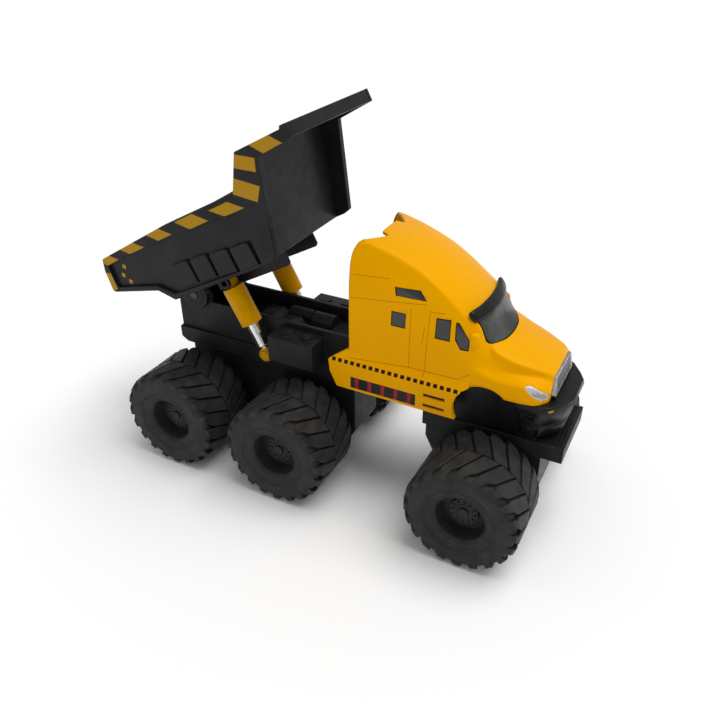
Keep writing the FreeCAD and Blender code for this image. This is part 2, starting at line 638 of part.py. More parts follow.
# The side skirts hang below the shell and slope in to it at the top.
skirt_in = S["skirt_out"] - S["skirt_wall"]
skirt_length = S["skirt_front_x"] + 3.0 - S["skirt_rear_x"]
for name, sign in SIDES.items():
    skirt = sketch_on(body, "cab_skirt_" + name, "YZ_Plane", S["skirt_rear_x"])
    outline(skirt, [
        (sign * skirt_in, S["skirt_bottom_z"]), (sign * S["skirt_out"], S["skirt_bottom_z"]),
        (sign * S["skirt_out"], SILL - 0.9), (sign * 15.2, SILL + 2.8), (sign * 14.4, SILL + 2.8),
        (sign * 14.4, SILL + 0.2), (sign * skirt_in, SILL - 0.9)])
    pad(body, skirt, skirt_length)
ends = sketch_on(body, "cab_skirt_ends", "XZ_Plane")
outline(ends, [
    (S["skirt_rear_x"] - 1, S["skirt_bottom_z"] - 1), (S["skirt_rear_x"] + 2.8, S["skirt_bottom_z"] - 1),
    (S["skirt_rear_x"] + 2.6, S["skirt_bottom_z"]), (S["skirt_rear_x"] + 0.4, 41.6),
    (S["skirt_rear_x"], 45.4), (REAR - 0.4, SILL + 3.0), (REAR - 0.4, SILL + 5.0), (S["skirt_rear_x"] - 1, SILL + 5.0)])
pocket(body, ends, THROUGH, midplane=True)
arch = sketch_on(body, "cab_arch", "XZ_Plane")
circle(arch, S["arch_x"], S["arch_z"], S["arch_radius"], "Sizes.arch_radius")
pocket(body, arch, THROUGH, midplane=True)
for name, corners in WINDOWS.items():
    window = sketch_on(body, "cab_window_" + name, "XZ_Plane")
    outline(window, corners)
    pocket(body, window, THROUGH, midplane=True)
screen = sketch_on(body, "cab_windscreen", "YZ_Plane", REAR + 33.0)
outline(screen, SCREEN)
pocket(body, screen, 10.5, reverse=True)
for name, sign in SIDES.items():
    lamp = sketch_on(body, "cab_lamp_" + name, "XZ_Plane", -sign * 18)
    outline(lamp, LAMP)
    pocket(body, lamp, 7.6, reverse=sign > 0)
    inlay = sketch_on(body, "cab_inlay_" + name, "XZ_Plane", -sign * S["skirt_out"])
    rectangle(inlay, PANEL_REAR_X, PANEL_LOW_Z, PANEL_FRONT_X, PANEL_HIGH_Z)
    for low, high in LOUVRES:
        rectangle(inlay, LOUVRE_REAR_X, low, LOUVRE_FRONT_X, high)
    pocket(body, inlay, S["inlay_depth"], reverse=sign > 0)
finish(body)

# Skirt panels: black inlays in the skirts, each with five upright slots.

body = new_body("skirt_panels")
gap = S["fit"]
SLOTS = 5
for name, sign in SIDES.items():
    panel = sketch_on(body, "panel_plate_" + name, "XZ_Plane", -sign * (S["skirt_out"] - S["inlay_depth"]))
    outline(panel, [
        (PANEL_REAR_X + gap, PANEL_LOW_Z + gap), (PANEL_FRONT_X - gap, PANEL_LOW_Z + gap),
        (PANEL_FRONT_X - gap, PANEL_HIGH_Z - gap), (PANEL_REAR_X + gap, PANEL_HIGH_Z - gap)])
    pad(body, panel, S["inlay_depth"], reverse=sign > 0, formula="Sizes.inlay_depth")
for name, sign in SIDES.items():
    slots = sketch_on(body, "panel_slots_" + name, "XZ_Plane", -sign * S["skirt_out"])
    pitch = (PANEL_FRONT_X - PANEL_REAR_X) / SLOTS
    for number in range(SLOTS):
        middle = PANEL_REAR_X + pitch * (number + 0.5)
        outline(slots, [
            (middle - 0.6, PANEL_LOW_Z + 0.7), (middle + 0.6, PANEL_LOW_Z + 0.7),
            (middle + 0.6, PANEL_HIGH_Z - 0.6), (middle - 0.6, PANEL_HIGH_Z - 0.6)])
    pocket(body, slots, S["inlay_depth"] / 2, reverse=sign > 0)
finish(body)

# Glazing: one smoked moulding that lines the cab behind every window.

glazed = [station for station in CAB_STATIONS if REAR + 8 < station[0] < REAR + 46]
glass_depth = wall + S["glass_gap"]
glass_skin = cab_inside(glass_depth, glazed)
body = drawn_body("cab_glazing", glass_skin.cut(cab_inside(glass_depth + S["glass_thick"], glazed)).removeSplitter())
keep = sketch_on(body, "glass_below", "XZ_Plane")
outline(keep, [(REAR, 40), (NOSE, 40), (NOSE, 57.6), (REAR, 57.6)])
pocket(body, keep, THROUGH, midplane=True)
finish(body)

# Visor: a black band over the windscreen that follows the roof's front edge.
# Each corner of its section is so far ahead of the cab's rear and above the roof.
VISOR = [(36.2, 0.2), (38.3, 0.32), (39.9, 1.3), (40.9, 3.2), (39.7, 4.1), (36.9, 2.1)]
VISOR_STATIONS = [(-12.9, -1.1), (-6.9, -0.2), (0.0, 0.0), (6.9, -0.2), (12.9, -1.1)]


def roof_z(x, y):
    """Height of the cab's skin over a point of the ground plan, between the creases."""
    for before, after in zip(CAB_STATIONS, CAB_STATIONS[1:]):
        if before[0] <= x <= after[0]:
            share = (x - before[0]) / (after[0] - before[0])
            crease_y = before[5][0] + (after[5][0] - before[5][0]) * share
            crease_z = before[5][1] + (after[5][1] - before[5][1]) * share
            crown_z = before[6] + (after[6] - before[6]) * share
            middle_y = crease_y * 0.55
            middle_z = crease_z + (crown_z - crease_z) * 0.75
            out = min(abs(y), crease_y)
            if out < middle_y:
                return crown_z + (middle_z - crown_z) * out / middle_y
            return middle_z + (crease_z - middle_z) * (out - middle_y) / (crease_y - middle_y)


def visor_section(y, ahead):
    return [Vector(REAR + x + ahead, y, roof_z(REAR + x + ahead, y) + up) for x, up in VISOR]


finish(drawn_body("cab_visor", faceted([visor_section(y, ahead) for y, ahead in VISOR_STATIONS])))

# Grille: a silver panel that leans on the nose, with long slots between its bars.

body = new_body("grille")
plate = sketch_on(body, "grille_plate", "YZ_Plane", NOSE)
outline(plate, [
    (-8.7, 47.2), (8.7, 47.2), (9.2, 47.8), (8.0, 52.5), (7.3, 53.0), (-7.3, 53.0), (-8.0, 52.5), (-9.2, 47.8)])
pad(body, plate, 1.4)
lean = sketch_on(body, "grille_lean", "XZ_Plane")
outline(lean, [(NOSE + 0.6, 53.2), (NOSE + 1.4, 47.0), (NOSE + 3.0, 47.0), (NOSE + 3.0, 53.2)])
pocket(body, lean, THROUGH, midplane=True)
BARS = 4
for number in range(BARS):
    low = 48.0 + number * 1.15
    slot = sketch_on(body, "grille_slot_%d" % number, "YZ_Plane", NOSE + 0.35)
    reach = 8.2 - number * 0.33
    outline(slot, [(-reach, low), (reach, low), (reach, low + 0.6), (-reach, low + 0.6)])
    pocket(body, slot, 5.0, reverse=True)
finish(body)

# Headlights: clear almond lenses let in to the fenders' front corners.

body = new_body("headlights")
PLAN = [(62.0, 15.0), (66.0, 14.5), (68.6, 13.2), (70.2, 11.0), (71.0, 9.5)]
for name, sign in SIDES.items():
    lens = sketch_on(body, "lens_" + name, "XZ_Plane", -sign * 10.4)
    outline(lens, inset(list(reversed(LAMP)), S["fit"]))
    pad(body, lens, 5.0, reverse=sign > 0)
for name, sign in SIDES.items():
    outside = sketch_on(body, "lens_outside_" + name, "XY_Plane", 40)
    outline(outside, [(x, sign * (y + 0.15)) for x, y in PLAN] + [(76.0, sign * 9.5), (76.0, sign * 18), (60.0, sign * 18), (60.0, sign * 15.15)])
    pocket(body, outside, 20, reverse=True)
    inside_cut = sketch_on(body, "lens_inside_" + name, "XY_Plane", 40)
    outline(inside_cut, [(x - 0.6, sign * (y - 1.3)) for x, y in PLAN] + [(71.0, sign * 6), (60.0, sign * 6), (60.0, sign * 13.7)])
    pocket(body, inside_cut, 20, reverse=True)
finish(body)

# Cab base: the black moulding that carries the cab, with a tray between the
# skirts, the block inside the wheel arches and the bumper round the nose.

body = new_body("cab_base")
TRAY_Z = S["spine_top_z"]
TRAY_TOP = SILL - 0.9 - gap
tray = sketch_on(body, "base_tray", "XZ_Plane")
outline(tray, [
    (REAR, TRAY_Z), (S["skirt_front_x"], TRAY_Z), (S["skirt_front_x"], TRAY_TOP), (REAR, TRAY_TOP)])
pad(body, tray, 2 * (skirt_in - gap), midplane=True)
hollow = sketch_on(body, "base_hollow", "XY_Plane", TRAY_Z + 1.2)
inner = skirt_in - gap - 1.6
outline(hollow, [
    (REAR + 1.6, -inner), (S["skirt_front_x"] - 4.0, -inner), (S["skirt_front_x"] - 4.0, inner), (REAR + 1.6, inner)])
pocket(body, hollow, 10.0, reverse=True)
block = sketch_on(body, "base_block", "XZ_Plane")
outline(block, [
    (43.6, S["plate_top_z"]), (68.0, S["plate_top_z"]), (68.0, SILL - gap), (60.0, SILL - gap),
    (57.0, 47.6), (53.0, 48.4), (48.6, 47.2), (46.0, TRAY_Z + 2.0), (40.0, TRAY_Z + 2.0), (40.0, TRAY_Z),
    (43.6, TRAY_Z - 2.0)])
pad(body, block, 2 * S["base_half"], midplane=True)
# Fog lamp recesses are let in to the bumper's sides, which step out above a lower lip.
# Each layer: height, rear end, half width, start of the front corner, front, front half width.
BUMPER = [
    (S["plate_top_z"], 64.4, 10.6, 67.4, 72.2, 5.6),
    (34.3, 63.9, 11.8, 67.8, 73.7, 5.4),
    (37.4, 63.4, 12.2, 68.0, 74.2, 5.6),
    (38.0, 63.2, 11.9, 67.8, 73.8, 5.4),
    (40.2, 62.6, 13.4, 69.2, 75.0, 6.2),
    (44.6, 61.6, 14.6, 70.4, 75.9, 7.0),
    (SILL - gap, 61.4, 14.4, 70.2, 75.6, 6.8),
]
FOG = [(64.0, 41.3), (67.0, 41.1), (67.2, 42.7), (64.2, 42.9)]


def bumper_layer(z, back, half, corner_x, front, front_half):
    side = [(back, half), (corner_x - 2.2, half), (corner_x + 0.9, half - 1.2),
            (front - 1.5, front_half + 1.8), (front, front_half - 1.2)]
    return [Vector(x, -y, z) for x, y in side] + [Vector(x, y, z) for x, y in reversed(side)]


bumper = drawn_body("bumper_form", faceted([bumper_layer(*layer) for layer in BUMPER]))
join = body.newObject("PartDesign::Boolean", "base_bumper")
join.Type = 0
join.addObjects([bumper])
body.Tip = join
for name, sign in SIDES.items():
    fog = sketch_on(body, "base_fog_" + name, "XZ_Plane", -sign * 16.0)
    outline(fog, FOG)
    pocket(body, fog, 3.2, reverse=sign > 0)
finish(body)


# Dump bed: a black plastic rock body drawn in its own frame, with the hinge pin at
# its origin, u forward along the floor and w square to it, then tilted as one.

body = new_body("dump_bed", BED_PLACE)
bound(body, "Placement.Rotation.Angle", "Sizes.bed_raise")
half = S["bed_half"]
bed_wall = S["bed_wall"]
FLOOR_W = 2.4
TAIL_U = -20.4
RIM_W = 23.8
RIM_FOOT_W = 20.2
PANEL_FOOT_U = 42.6
PANEL_HEAD_U = 52.4
CANOPY_W = 33.0
CANOPY_EDGE_W = 29.6
LIP_U = 70.8
profile = sketch_on(body, "bed_profile", "XZ_Plane")
outline(profile, [
    (TAIL_U + 0.8, 11.8), (-1.0, 7.0), (4.0, FLOOR_W), (PANEL_FOOT_U + 3.0, FLOOR_W),
    (PANEL_FOOT_U + 5.4, 3.0), (58.4, CANOPY_EDGE_W - 0.4, 1.5), (LIP_U, CANOPY_EDGE_W),
    (LIP_U, CANOPY_W + 0.5), (LIP_U - 2.0, CANOPY_W + 0.5), (LIP_U - 2.4, CANOPY_W - 0.3),
    (52.0, CANOPY_W, 1.2), (45.2, RIM_W), (15.0, RIM_W + 0.4), (TAIL_U + 2.4, RIM_W - 0.8),
    (TAIL_U + 1.2, RIM_FOOT_W - 1.0), (TAIL_U, 12.6)])
pad(body, profile, 2 * half, midplane=True, formula="2 * Sizes.bed_half")
load = sketch_on(body, "bed_load", "XZ_Plane")
outline(load, [
    (TAIL_U - 6, 14.9), (0.0, 7.0 + bed_wall * 1.1, 4.0), (6.0, FLOOR_W + bed_wall, 4.0),
    (PANEL_FOOT_U - bed_wall, FLOOR_W + bed_wall, 1.0), (PANEL_HEAD_U - bed_wall - 0.4, CANOPY_W - 1.0),
    (PANEL_HEAD_U - bed_wall - 0.4, CANOPY_W + 9), (TAIL_U - 6, CANOPY_W + 9)])
pocket(body, load, 2 * (half - 2.1), midplane=True)
front = sketch_on(body, "bed_front", "XZ_Plane")
outline(front, [
    (PANEL_FOOT_U, FLOOR_W - 2), (PANEL_FOOT_U, FLOOR_W + 0.2), (PANEL_HEAD_U + 0.6, CANOPY_W - 1.9, 1.0),
    (LIP_U - 1.6, CANOPY_W - 1.9), (LIP_U - 1.6, CANOPY_EDGE_W - 3), (PANEL_HEAD_U + 20, 0)])
pocket(body, front, 2 * (half - 1.9), midplane=True)
# The rims are bevelled, and the sides below them stand back behind four ribs.
for name, sign in SIDES.items():
    bevel = sketch_on(body, "bed_bevel_" + name, "YZ_Plane", 45.0)
    outline(bevel, [
        (sign * half, RIM_FOOT_W + 0.8), (sign * (half - 1.5), RIM_W + 3),
        (sign * (half + 3), RIM_W + 3)])
    pocket(body, bevel, 90, reverse=False)
RIBS = [(8.6, 16.6, 12.4, 5.0), (17.4, 24.8, 12.0, 4.2), (25.6, 33.2, 11.2, 3.4), (34.4, 40.0, 10.6, 3.0)]
panels = [[(TAIL_U + 3.4, 14.2), (-0.6, 9.2), (5.0, 4.8), (7.8, 4.4), (7.8, RIM_FOOT_W - 0.3), (TAIL_U + 3.0, RIM_FOOT_W - 0.6)]]
for (start, end, top, bottom), following in zip(RIBS, RIBS[1:] + [(42.5, 0, 0, 0)]):
    panels.append([(start - 0.8, top + 0.4), (following[0] - 0.8, top + 0.2), (following[0] - 0.8, RIM_FOOT_W - 0.3), (start - 0.8, RIM_FOOT_W - 0.3)])
    panels.append([(end, bottom), (following[0], bottom), (following[0], top), (end, top)])
deep = S["side_recess"]
for name, sign in SIDES.items():
    for number, corners in enumerate(panels):
        recess = sketch_on(body, "bed_panel_%s_%d" % (name, number), "XZ_Plane", -sign * half)
        outline(recess, corners)
        pocket(body, recess, deep, reverse=sign > 0)
# Under the floor: three beams and the two ears of the hinge.
for name, inner, outer in (("middle", -7.2, 7.2), ("right", -18.4, -15.9), ("left", 15.9, 18.4)):
    beam = sketch_on(body, "bed_beam_" + name, "YZ_Plane", 24.5)
    outline(beam, [(inner, -0.9), (outer, -0.9), (outer, FLOOR_W + 0.5), (inner, FLOOR_W + 0.5)])
    pad(body, beam, 20.0)
ear_in = S["rail_half"] + S["ear_gap"]
for name, sign in SIDES.items():
    ear = sketch_on(body, "bed_ear_" + name, "XZ_Plane", -sign * (ear_in + S["ear_thick"] / 2))
    r = S["ear_radius"]
    outline(ear, [
        (-8.4, FLOOR_W + 7.5), (-8.6, 1.2, 0.6), (-r * 0.98, 0.9), (-r * 0.98, -r * 0.98, r * 0.9),
        (r * 0.98, -r * 0.98, r * 0.9), (r * 0.98, FLOOR_W + 1.0)])
    pad(body, ear, S["ear_thick"], midplane=True, formula="Sizes.ear_thick")
hole = sketch_on(body, "bed_pin_bore", "XZ_Plane")
circle(hole, 0, 0, S["pin_radius"])
pocket(body, hole, THROUGH, midplane=True)
# Two cheeks hold each ram's upper pin, in a notch let in to the floor above it.
lug_half = S["barrel_lug"] / 2 + S["fit"]
CHEEK = 1.8
for name, sign in SIDES.items():
    notch = sketch_on(body, "bed_notch_" + name, "XZ_Plane", -sign * S["ram_y"])
    many_sided(notch, S["ram_pin_u"], S["ram_pin_w"], 2.3, HEAD_SIDES)
    pocket(body, notch, 2 * (lug_half + S["cheek_thick"]), midplane=True)
    for inner in (lug_half, -lug_half - S["cheek_thick"]):
        cheek = sketch_on(body, "bed_cheek_%s_%d" % (name, inner > 0), "XZ_Plane", -sign * (S["ram_y"] + inner))
        outline(cheek, [
            (S["ram_pin_u"] - CHEEK, FLOOR_W + 1.2), (S["ram_pin_u"] - CHEEK, S["ram_pin_w"] - CHEEK / 2),
            (S["ram_pin_u"] - CHEEK / 2, S["ram_pin_w"] - CHEEK), (S["ram_pin_u"] + CHEEK / 2, S["ram_pin_w"] - CHEEK),
            (S["ram_pin_u"] + CHEEK, S["ram_pin_w"] - CHEEK / 2), (S["ram_pin_u"] + CHEEK, FLOOR_W + 1.2)])
        pad(body, cheek, S["cheek_thick"], reverse=sign > 0)
    bore = sketch_on(body, "bed_ram_bore_" + name, "XZ_Plane", -sign * S["ram_y"])
    circle(bore, S["ram_pin_u"], S["ram_pin_w"], S["ram_pin_radius"])
    pocket(body, bore, 2 * (lug_half + S["cheek_thick"]), midplane=True)
finish(body)

# Hinge pin: pressed in the ears, it turns in the frame's brackets.

body = new_body("hinge_pin", BED_PLACE)
section = sketch_on(body, "hinge_pin_section", "XZ_Plane")
circle(section, 0, 0, S["pin_radius"], "Sizes.pin_radius")
pad(body, section, 2 * (ear_in + S["ear_thick"] + 0.4), midplane=True)
finish(body)

# Rams: a yellow barrel hung from a pin under the bed, and a chromed rod that
# slides in it, with an eye that sits on a peg on the frame's side.

for name, sign in SIDES.items():
    pin = Vector(S["ram_pin_u"], sign * S["ram_y"], S["ram_pin_w"])
    place = BED_PLACE.multiply(Placement(pin, Rotation()))
    body = new_body("ram_barrel_" + name, place)
    tube = sketch_on(body, "barrel_tube_" + name, "XY_Plane", -S["barrel_top"])
    circle(tube, 0, 0, S["barrel_radius"], "Sizes.barrel_radius")
    pad(body, tube, S["barrel_length"], reverse=True, formula="Sizes.barrel_length")
    lug = sketch_on(body, "barrel_lug_" + name, "XZ_Plane")
    outline(lug, [
        (-1.7, -S["barrel_top"] - 0.5), (1.7, -S["barrel_top"] - 0.5), (1.7, 1.5, 1.4), (-1.7, 1.5, 1.4)])
    pad(body, lug, S["barrel_lug"], midplane=True, formula="Sizes.barrel_lug")
    bore = sketch_on(body, "barrel_bore_" + name, "XY_Plane", -S["barrel_top"] - S["barrel_length"])
    circle(bore, 0, 0, S["barrel_bore"], "Sizes.barrel_bore")
    pocket(body, bore, S["barrel_length"] - 0.4, reverse=True)
    eye = sketch_on(body, "barrel_eye_" + name, "XZ_Plane")
    circle(eye, 0, 0, S["ram_pin_radius"] + S["pin_clearance"] / 2)
    pocket(body, eye, THROUGH, midplane=True)
    finish(body)

    foot = Vector(S["ram_pin_u"], sign * S["ram_y"], -S["ram_foot_w"])
    place = BED_PLACE.multiply(Placement(foot, Rotation()))
    body = new_body("ram_rod_" + name, place)
    rod = sketch_on(body, "rod_bar_" + name, "XY_Plane")
    circle(rod, 0, 0, S["rod_radius"], "Sizes.rod_radius")
    pad(body, rod, S["rod_length"], formula="Sizes.rod_length")
    eye = sketch_on(body, "rod_eye_" + name, "XZ_Plane")
    circle(eye, 0, 0, S["rod_eye_radius"], "Sizes.rod_eye_radius")
    pad(body, eye, S["rod_eye_thick"], midplane=True, formula="Sizes.rod_eye_thick")
    flats = sketch_on(body, "rod_flats_" + name, "YZ_Plane")
    flat = S["rod_eye_thick"] / 2
    outline(flats, [(flat, -4.0), (6.0, -4.0), (6.0, 2.2), (flat, 2.2)])
    outline(flats, [(-flat, -4.0), (-flat, 2.2), (-6.0, 2.2), (-6.0, -4.0)])
    pocket(body, flats, THROUGH, midplane=True)
    hole = sketch_on(body, "rod_hole_" + name, "XZ_Plane")
    circle(hole, 0, 0, S["rod_hole_radius"], "Sizes.rod_hole_radius")
    pocket(body, hole, THROUGH, midplane=True)
    finish(body)

    # The pin runs between two small cheeks under the bed's floor.
    body = new_body("ram_pin_" + name, BED_PLACE.multiply(Placement(pin, Rotation())))
    section = sketch_on(body, "ram_pin_section_" + name, "XZ_Plane")
    circle(section, 0, 0, S["ram_pin_radius"], "Sizes.ram_pin_radius")
    pad(body, section, S["barrel_lug"] + 2 * (S["fit"] + S["cheek_thick"]), midplane=True)
    finish(body)


# Check every object, then write one file for each piece.

doc.recompute()
faults = []
for thing in doc.Objects:
    if "Invalid" in thing.State or "Error" in thing.State:
        faults.append("%s %s" % (thing.Label, thing.State))
for piece in parts:
    if piece.Shape.isNull() or not piece.Shape.isValid():
        faults.append("%s has no valid shape" % piece.Label)
if faults:
    raise SystemExit("\n".join(faults))
os.makedirs("parts", exist_ok=True)
for piece in parts:
    piece.Shape.exportStep("parts/%s.step" % piece.Label)
    print("%-22s %9.1f mm3" % (piece.Label, piece.Shape.Volume))
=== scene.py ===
# A toy monster-tyred dump truck with its bed raised: a die-cast yellow cab on a black
# plastic frame, six soft tyres and a plastic rock bed with yellow hazard stripes.
# The frame gives the sizes and places, in metres. This script gives the finish.
import math
import bmesh
import bpy
from mathutils import Matrix, Vector


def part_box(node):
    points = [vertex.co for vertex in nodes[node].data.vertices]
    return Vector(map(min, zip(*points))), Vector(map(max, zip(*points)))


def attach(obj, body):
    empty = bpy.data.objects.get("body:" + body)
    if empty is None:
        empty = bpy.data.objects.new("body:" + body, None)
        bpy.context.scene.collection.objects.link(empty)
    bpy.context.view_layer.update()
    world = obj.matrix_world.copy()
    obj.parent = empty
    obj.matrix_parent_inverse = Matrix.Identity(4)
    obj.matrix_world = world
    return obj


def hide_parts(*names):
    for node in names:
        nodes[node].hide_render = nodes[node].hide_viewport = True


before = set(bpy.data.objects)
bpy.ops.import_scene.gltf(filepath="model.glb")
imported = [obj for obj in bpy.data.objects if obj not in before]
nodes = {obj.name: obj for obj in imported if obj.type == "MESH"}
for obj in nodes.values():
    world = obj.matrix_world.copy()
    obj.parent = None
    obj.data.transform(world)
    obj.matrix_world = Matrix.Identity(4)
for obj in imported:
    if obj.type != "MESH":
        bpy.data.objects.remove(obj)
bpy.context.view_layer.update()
MM = 0.001


# Tyres: six big toy tyres of soft matt black plastic, each pushed over its rim.
# Two rows of broad slanted lugs meet in a chevron on the crown, and end on the
# shoulder in open scoops. Play has left a little brown dust on the lugs' faces.

def srgb(red, green, blue):
    """A colour as a paint chart gives it, from 0 to 255, as the linear values that shaders take."""
    channels = []
    for value in (red, green, blue):
        share = value / 255
        channels.append(share / 12.92 if share <= 0.04045 else ((share + 0.055) / 1.055) ** 2.4)
    return (*channels, 1.0)


def add_node(tree, kind, **values):
    """A shader node with some of its inputs set by name."""
    node = tree.nodes.new(kind)
    for name, value in values.items():
        node.inputs[name].default_value = value
    return node


def blend_colours(tree, share, first, second):
    """The colour between two others, which are sockets or plain colours."""
    mix = tree.nodes.new("ShaderNodeMix")
    mix.data_type = "RGBA"
    tree.links.new(share, mix.inputs["Factor"])
    for name, colour in (("A", first), ("B", second)):
        socket = [item for item in mix.inputs if item.name == name and item.type == "RGBA"][0]
        if isinstance(colour, tuple):
            socket.default_value = colour
        else:
            tree.links.new(colour, socket)
    return [item for item in mix.outputs if item.type == "RGBA"][0]


def object_place(tree):
    """Where a point lies in the truck's own frame."""
    return tree.nodes.new("ShaderNodeTexCoord").outputs["Object"]


def rise(tree, value, start, end):
    """0 where a value is at its start, 1 where it is at its end, and a slope between."""
    slope = add_node(tree, "ShaderNodeMapRange", **{"From Min": start, "From Max": end})
    tree.links.new(value, slope.inputs["Value"])
    return slope.outputs["Result"]


def cloud(tree, size, detail=3.0, low=0.35, high=0.65):
    """A soft noise with patches of one size, stretched to run from 0 to 1."""
    noise = add_node(tree, "ShaderNodeTexNoise", Scale=1 / size, Detail=detail)
    tree.links.new(object_place(tree), noise.inputs["Vector"])
    return rise(tree, noise.outputs["Fac"], low, high)


GLOSS_SPREAD = 0.06


def moulded(name, dark, light, roughness, patch=6 * MM, grain=0.35 * MM, depth=0.012 * MM, shine=0.16):
    """A moulded or painted finish: two close colours in soft patches, a fine grain and an uneven gloss."""
    material = bpy.data.materials.new(name)
    material.use_nodes = True
    tree = material.node_tree
    shader = tree.nodes["Principled BSDF"]
    shader.inputs["Specular IOR Level"].default_value = shine
    colour = blend_colours(tree, cloud(tree, patch), dark, light)
    tree.links.new(colour, shader.inputs["Base Color"])
    ends = {"To Min": roughness - GLOSS_SPREAD, "To Max": roughness + GLOSS_SPREAD}
    gloss = add_node(tree, "ShaderNodeMapRange", **ends)
    tree.links.new(cloud(tree, patch / 3), gloss.inputs["Value"])
    tree.links.new(gloss.outputs["Result"], shader.inputs["Roughness"])
    relief = add_node(tree, "ShaderNodeBump", Strength=1.0, Distance=depth)
    tree.links.new(cloud(tree, grain, detail=2.0, low=0.0, high=1.0), relief.inputs["Height"])
    tree.links.new(relief.outputs["Normal"], shader.inputs["Normal"])
    return material


def overlay(material, share, colour):
    """Lays one more colour over a finish where the share is 1."""
    tree = material.node_tree
    shader = tree.nodes["Principled BSDF"]
    under = shader.inputs["Base Color"].links[0].from_socket
    tree.links.new(blend_colours(tree, share, under, colour), shader.inputs["Base Color"])


def finished(work, name, body, replaced, materials, sharp=35):
    """Turns a bmesh into a piece of the truck that rides on a body and stands for its CAD nodes."""
    mesh = bpy.data.meshes.new(name)
    work.to_mesh(mesh)
    work.free()
    for material in materials:
        mesh.materials.append(material)
    for face in mesh.polygons:
        face.use_smooth = True
    mesh.set_sharp_from_angle(angle=math.radians(sharp))
    piece = bpy.data.objects.new(name, mesh)
    bpy.context.scene.collection.objects.link(piece)
    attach(piece, body)
    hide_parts(*replaced)
    return piece


def level_shading(piece):
    """Keeps flat faces evenly shaded up to their rounded edges."""
    even = piece.modifiers.new("level_shading", "WEIGHTED_NORMAL")
    even.mode = "FACE_AREA"
    even.weight = 80
    even.keep_sharp = True


def middle(node):
    """The middle of a CAD node's box."""
    low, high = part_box(node)
    return (low + high) / 2


def parts_made(result, kind):
    """The vertices or faces among what an operator made."""
    return [item for item in result["geom"] if isinstance(item, kind)]


def bevelled(work, edges, width, segments=2, clamped=False):
    """Rounds edges, as a mould leaves them."""
    bmesh.ops.bevel(work, geom=edges, offset=width, affect="EDGES", segments=segments, profile=0.5,
                    material=-1, clamp_overlap=clamped)


def add_shape(whole, part):
    """Adds the shape of one bmesh to another, and frees it."""
    spare = bpy.data.meshes.new("spare_shape")
    part.to_mesh(spare)
    part.free()
    whole.from_mesh(spare)
    bpy.data.meshes.remove(spare)


LUGS = 20
LUG_SLANT = math.tan(math.radians(26.5))
# One lug in plan, from the crown line out to the shoulder: how far out, and how
# far along the tread its front and rear edges are from the slanted line, in mm.
LUG_FRONT = [(0.15, 4.6), (7.4, 4.6), (8.4, 4.3), (9.2, 3.5), (10.9, 3.1)]
LUG_REAR = [(10.9, 0.6), (8.9, 0.5), (7.9, 0.0), (0.15, 0.0)]
CARCASS = [(10.6, -10.6), (10.85, -10.85), (11.4, -11.0), (14.5, -10.9), (15.2, -10.6), (15.7, -9.9),
           (15.7, 9.9), (15.2, 10.6), (14.5, 10.9), (11.4, 11.0), (10.85, 10.85), (10.6, 10.6)]
CARCASS_STEPS = 96
LUG_ROOT = 14.6 * MM
LUG_SHOULDER = 9.5 * MM
LUG_EDGE = 0.22 * MM
TIP_SLOPE = 0.7 * MM
TIP_GAP = 0.02 * MM

rubber = moulded("tyre_rubber", srgb(38, 38, 38), srgb(50, 50, 49), roughness=0.55, patch=5 * MM,
                 grain=0.5 * MM, depth=0.02 * MM)
dusty = moulded("tyre_lugs", srgb(36, 36, 36), srgb(50, 49, 48), roughness=0.52, patch=4 * MM,
                grain=0.5 * MM, depth=0.02 * MM)
overlay(dusty, cloud(dusty.node_tree, size=9 * MM, detail=4.0, low=0.6, high=0.95), srgb(70, 64, 56))


def tyre_piece(node, body):
    """A lathed carcass with a ring of bevelled lugs on each half of the tread."""
    low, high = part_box(node)
    centre = (low + high) / 2
    tip = (high.z - low.z) / 2
    work = bmesh.new()
    ring = [work.verts.new((0, across * MM, radius * MM)) for radius, across in CARCASS]
    edges = [work.edges.new((ring[i], ring[(i + 1) % len(ring)])) for i in range(len(ring))]
    bmesh.ops.spin(work, geom=ring + edges, cent=(0, 0, 0), axis=(0, 1, 0), angle=math.tau,
                   steps=CARCASS_STEPS, use_merge=True)
    bmesh.ops.recalc_face_normals(work, faces=work.faces)
    for way, shift in ((1, 0.0), (-1, math.pi / LUGS)):
        lug = bmesh.new()
        corners = []
        for out, along in LUG_FRONT + LUG_REAR:
            turn = (along * MM - out * MM * LUG_SLANT) / tip + shift
            spot = (LUG_ROOT * math.sin(turn), way * out * MM, LUG_ROOT * math.cos(turn))
            corners.append(lug.verts.new(spot))
        base = lug.faces.new(corners)
        bmesh.ops.recalc_face_normals(lug, faces=[base])
        tops = parts_made(bmesh.ops.extrude_face_region(lug, geom=[base]), bmesh.types.BMVert)
        for corner in tops:
            reach = tip - (TIP_SLOPE if abs(corner.co.y) > LUG_SHOULDER else TIP_GAP)
            corner.co *= Vector((reach / LUG_ROOT, 1.0, reach / LUG_ROOT))
        edges = [edge for edge in lug.edges if all(vert in tops for vert in edge.verts)]
        bevelled(lug, edges, LUG_EDGE, 1)
        for corner in lug.verts:
            within = min(1.0, (tip - TIP_GAP) / math.hypot(corner.co.x, corner.co.z))
            corner.co *= Vector((within, 1.0, within))
        for face in lug.faces:
            face.material_index = 1
        bmesh.ops.recalc_face_normals(lug, faces=lug.faces)
        step = math.tau / LUGS
        bmesh.ops.spin(lug, geom=lug.verts[:] + lug.edges[:] + lug.faces[:], cent=(0, 0, 0),
                       axis=(0, 1, 0), angle=math.tau - step, steps=LUGS - 1, use_duplicate=True)
        add_shape(work, lug)
    bmesh.ops.translate(work, vec=centre, verts=work.verts)
    finished(work, "big_" + node, body, [node], [rubber, dusty], sharp=30)


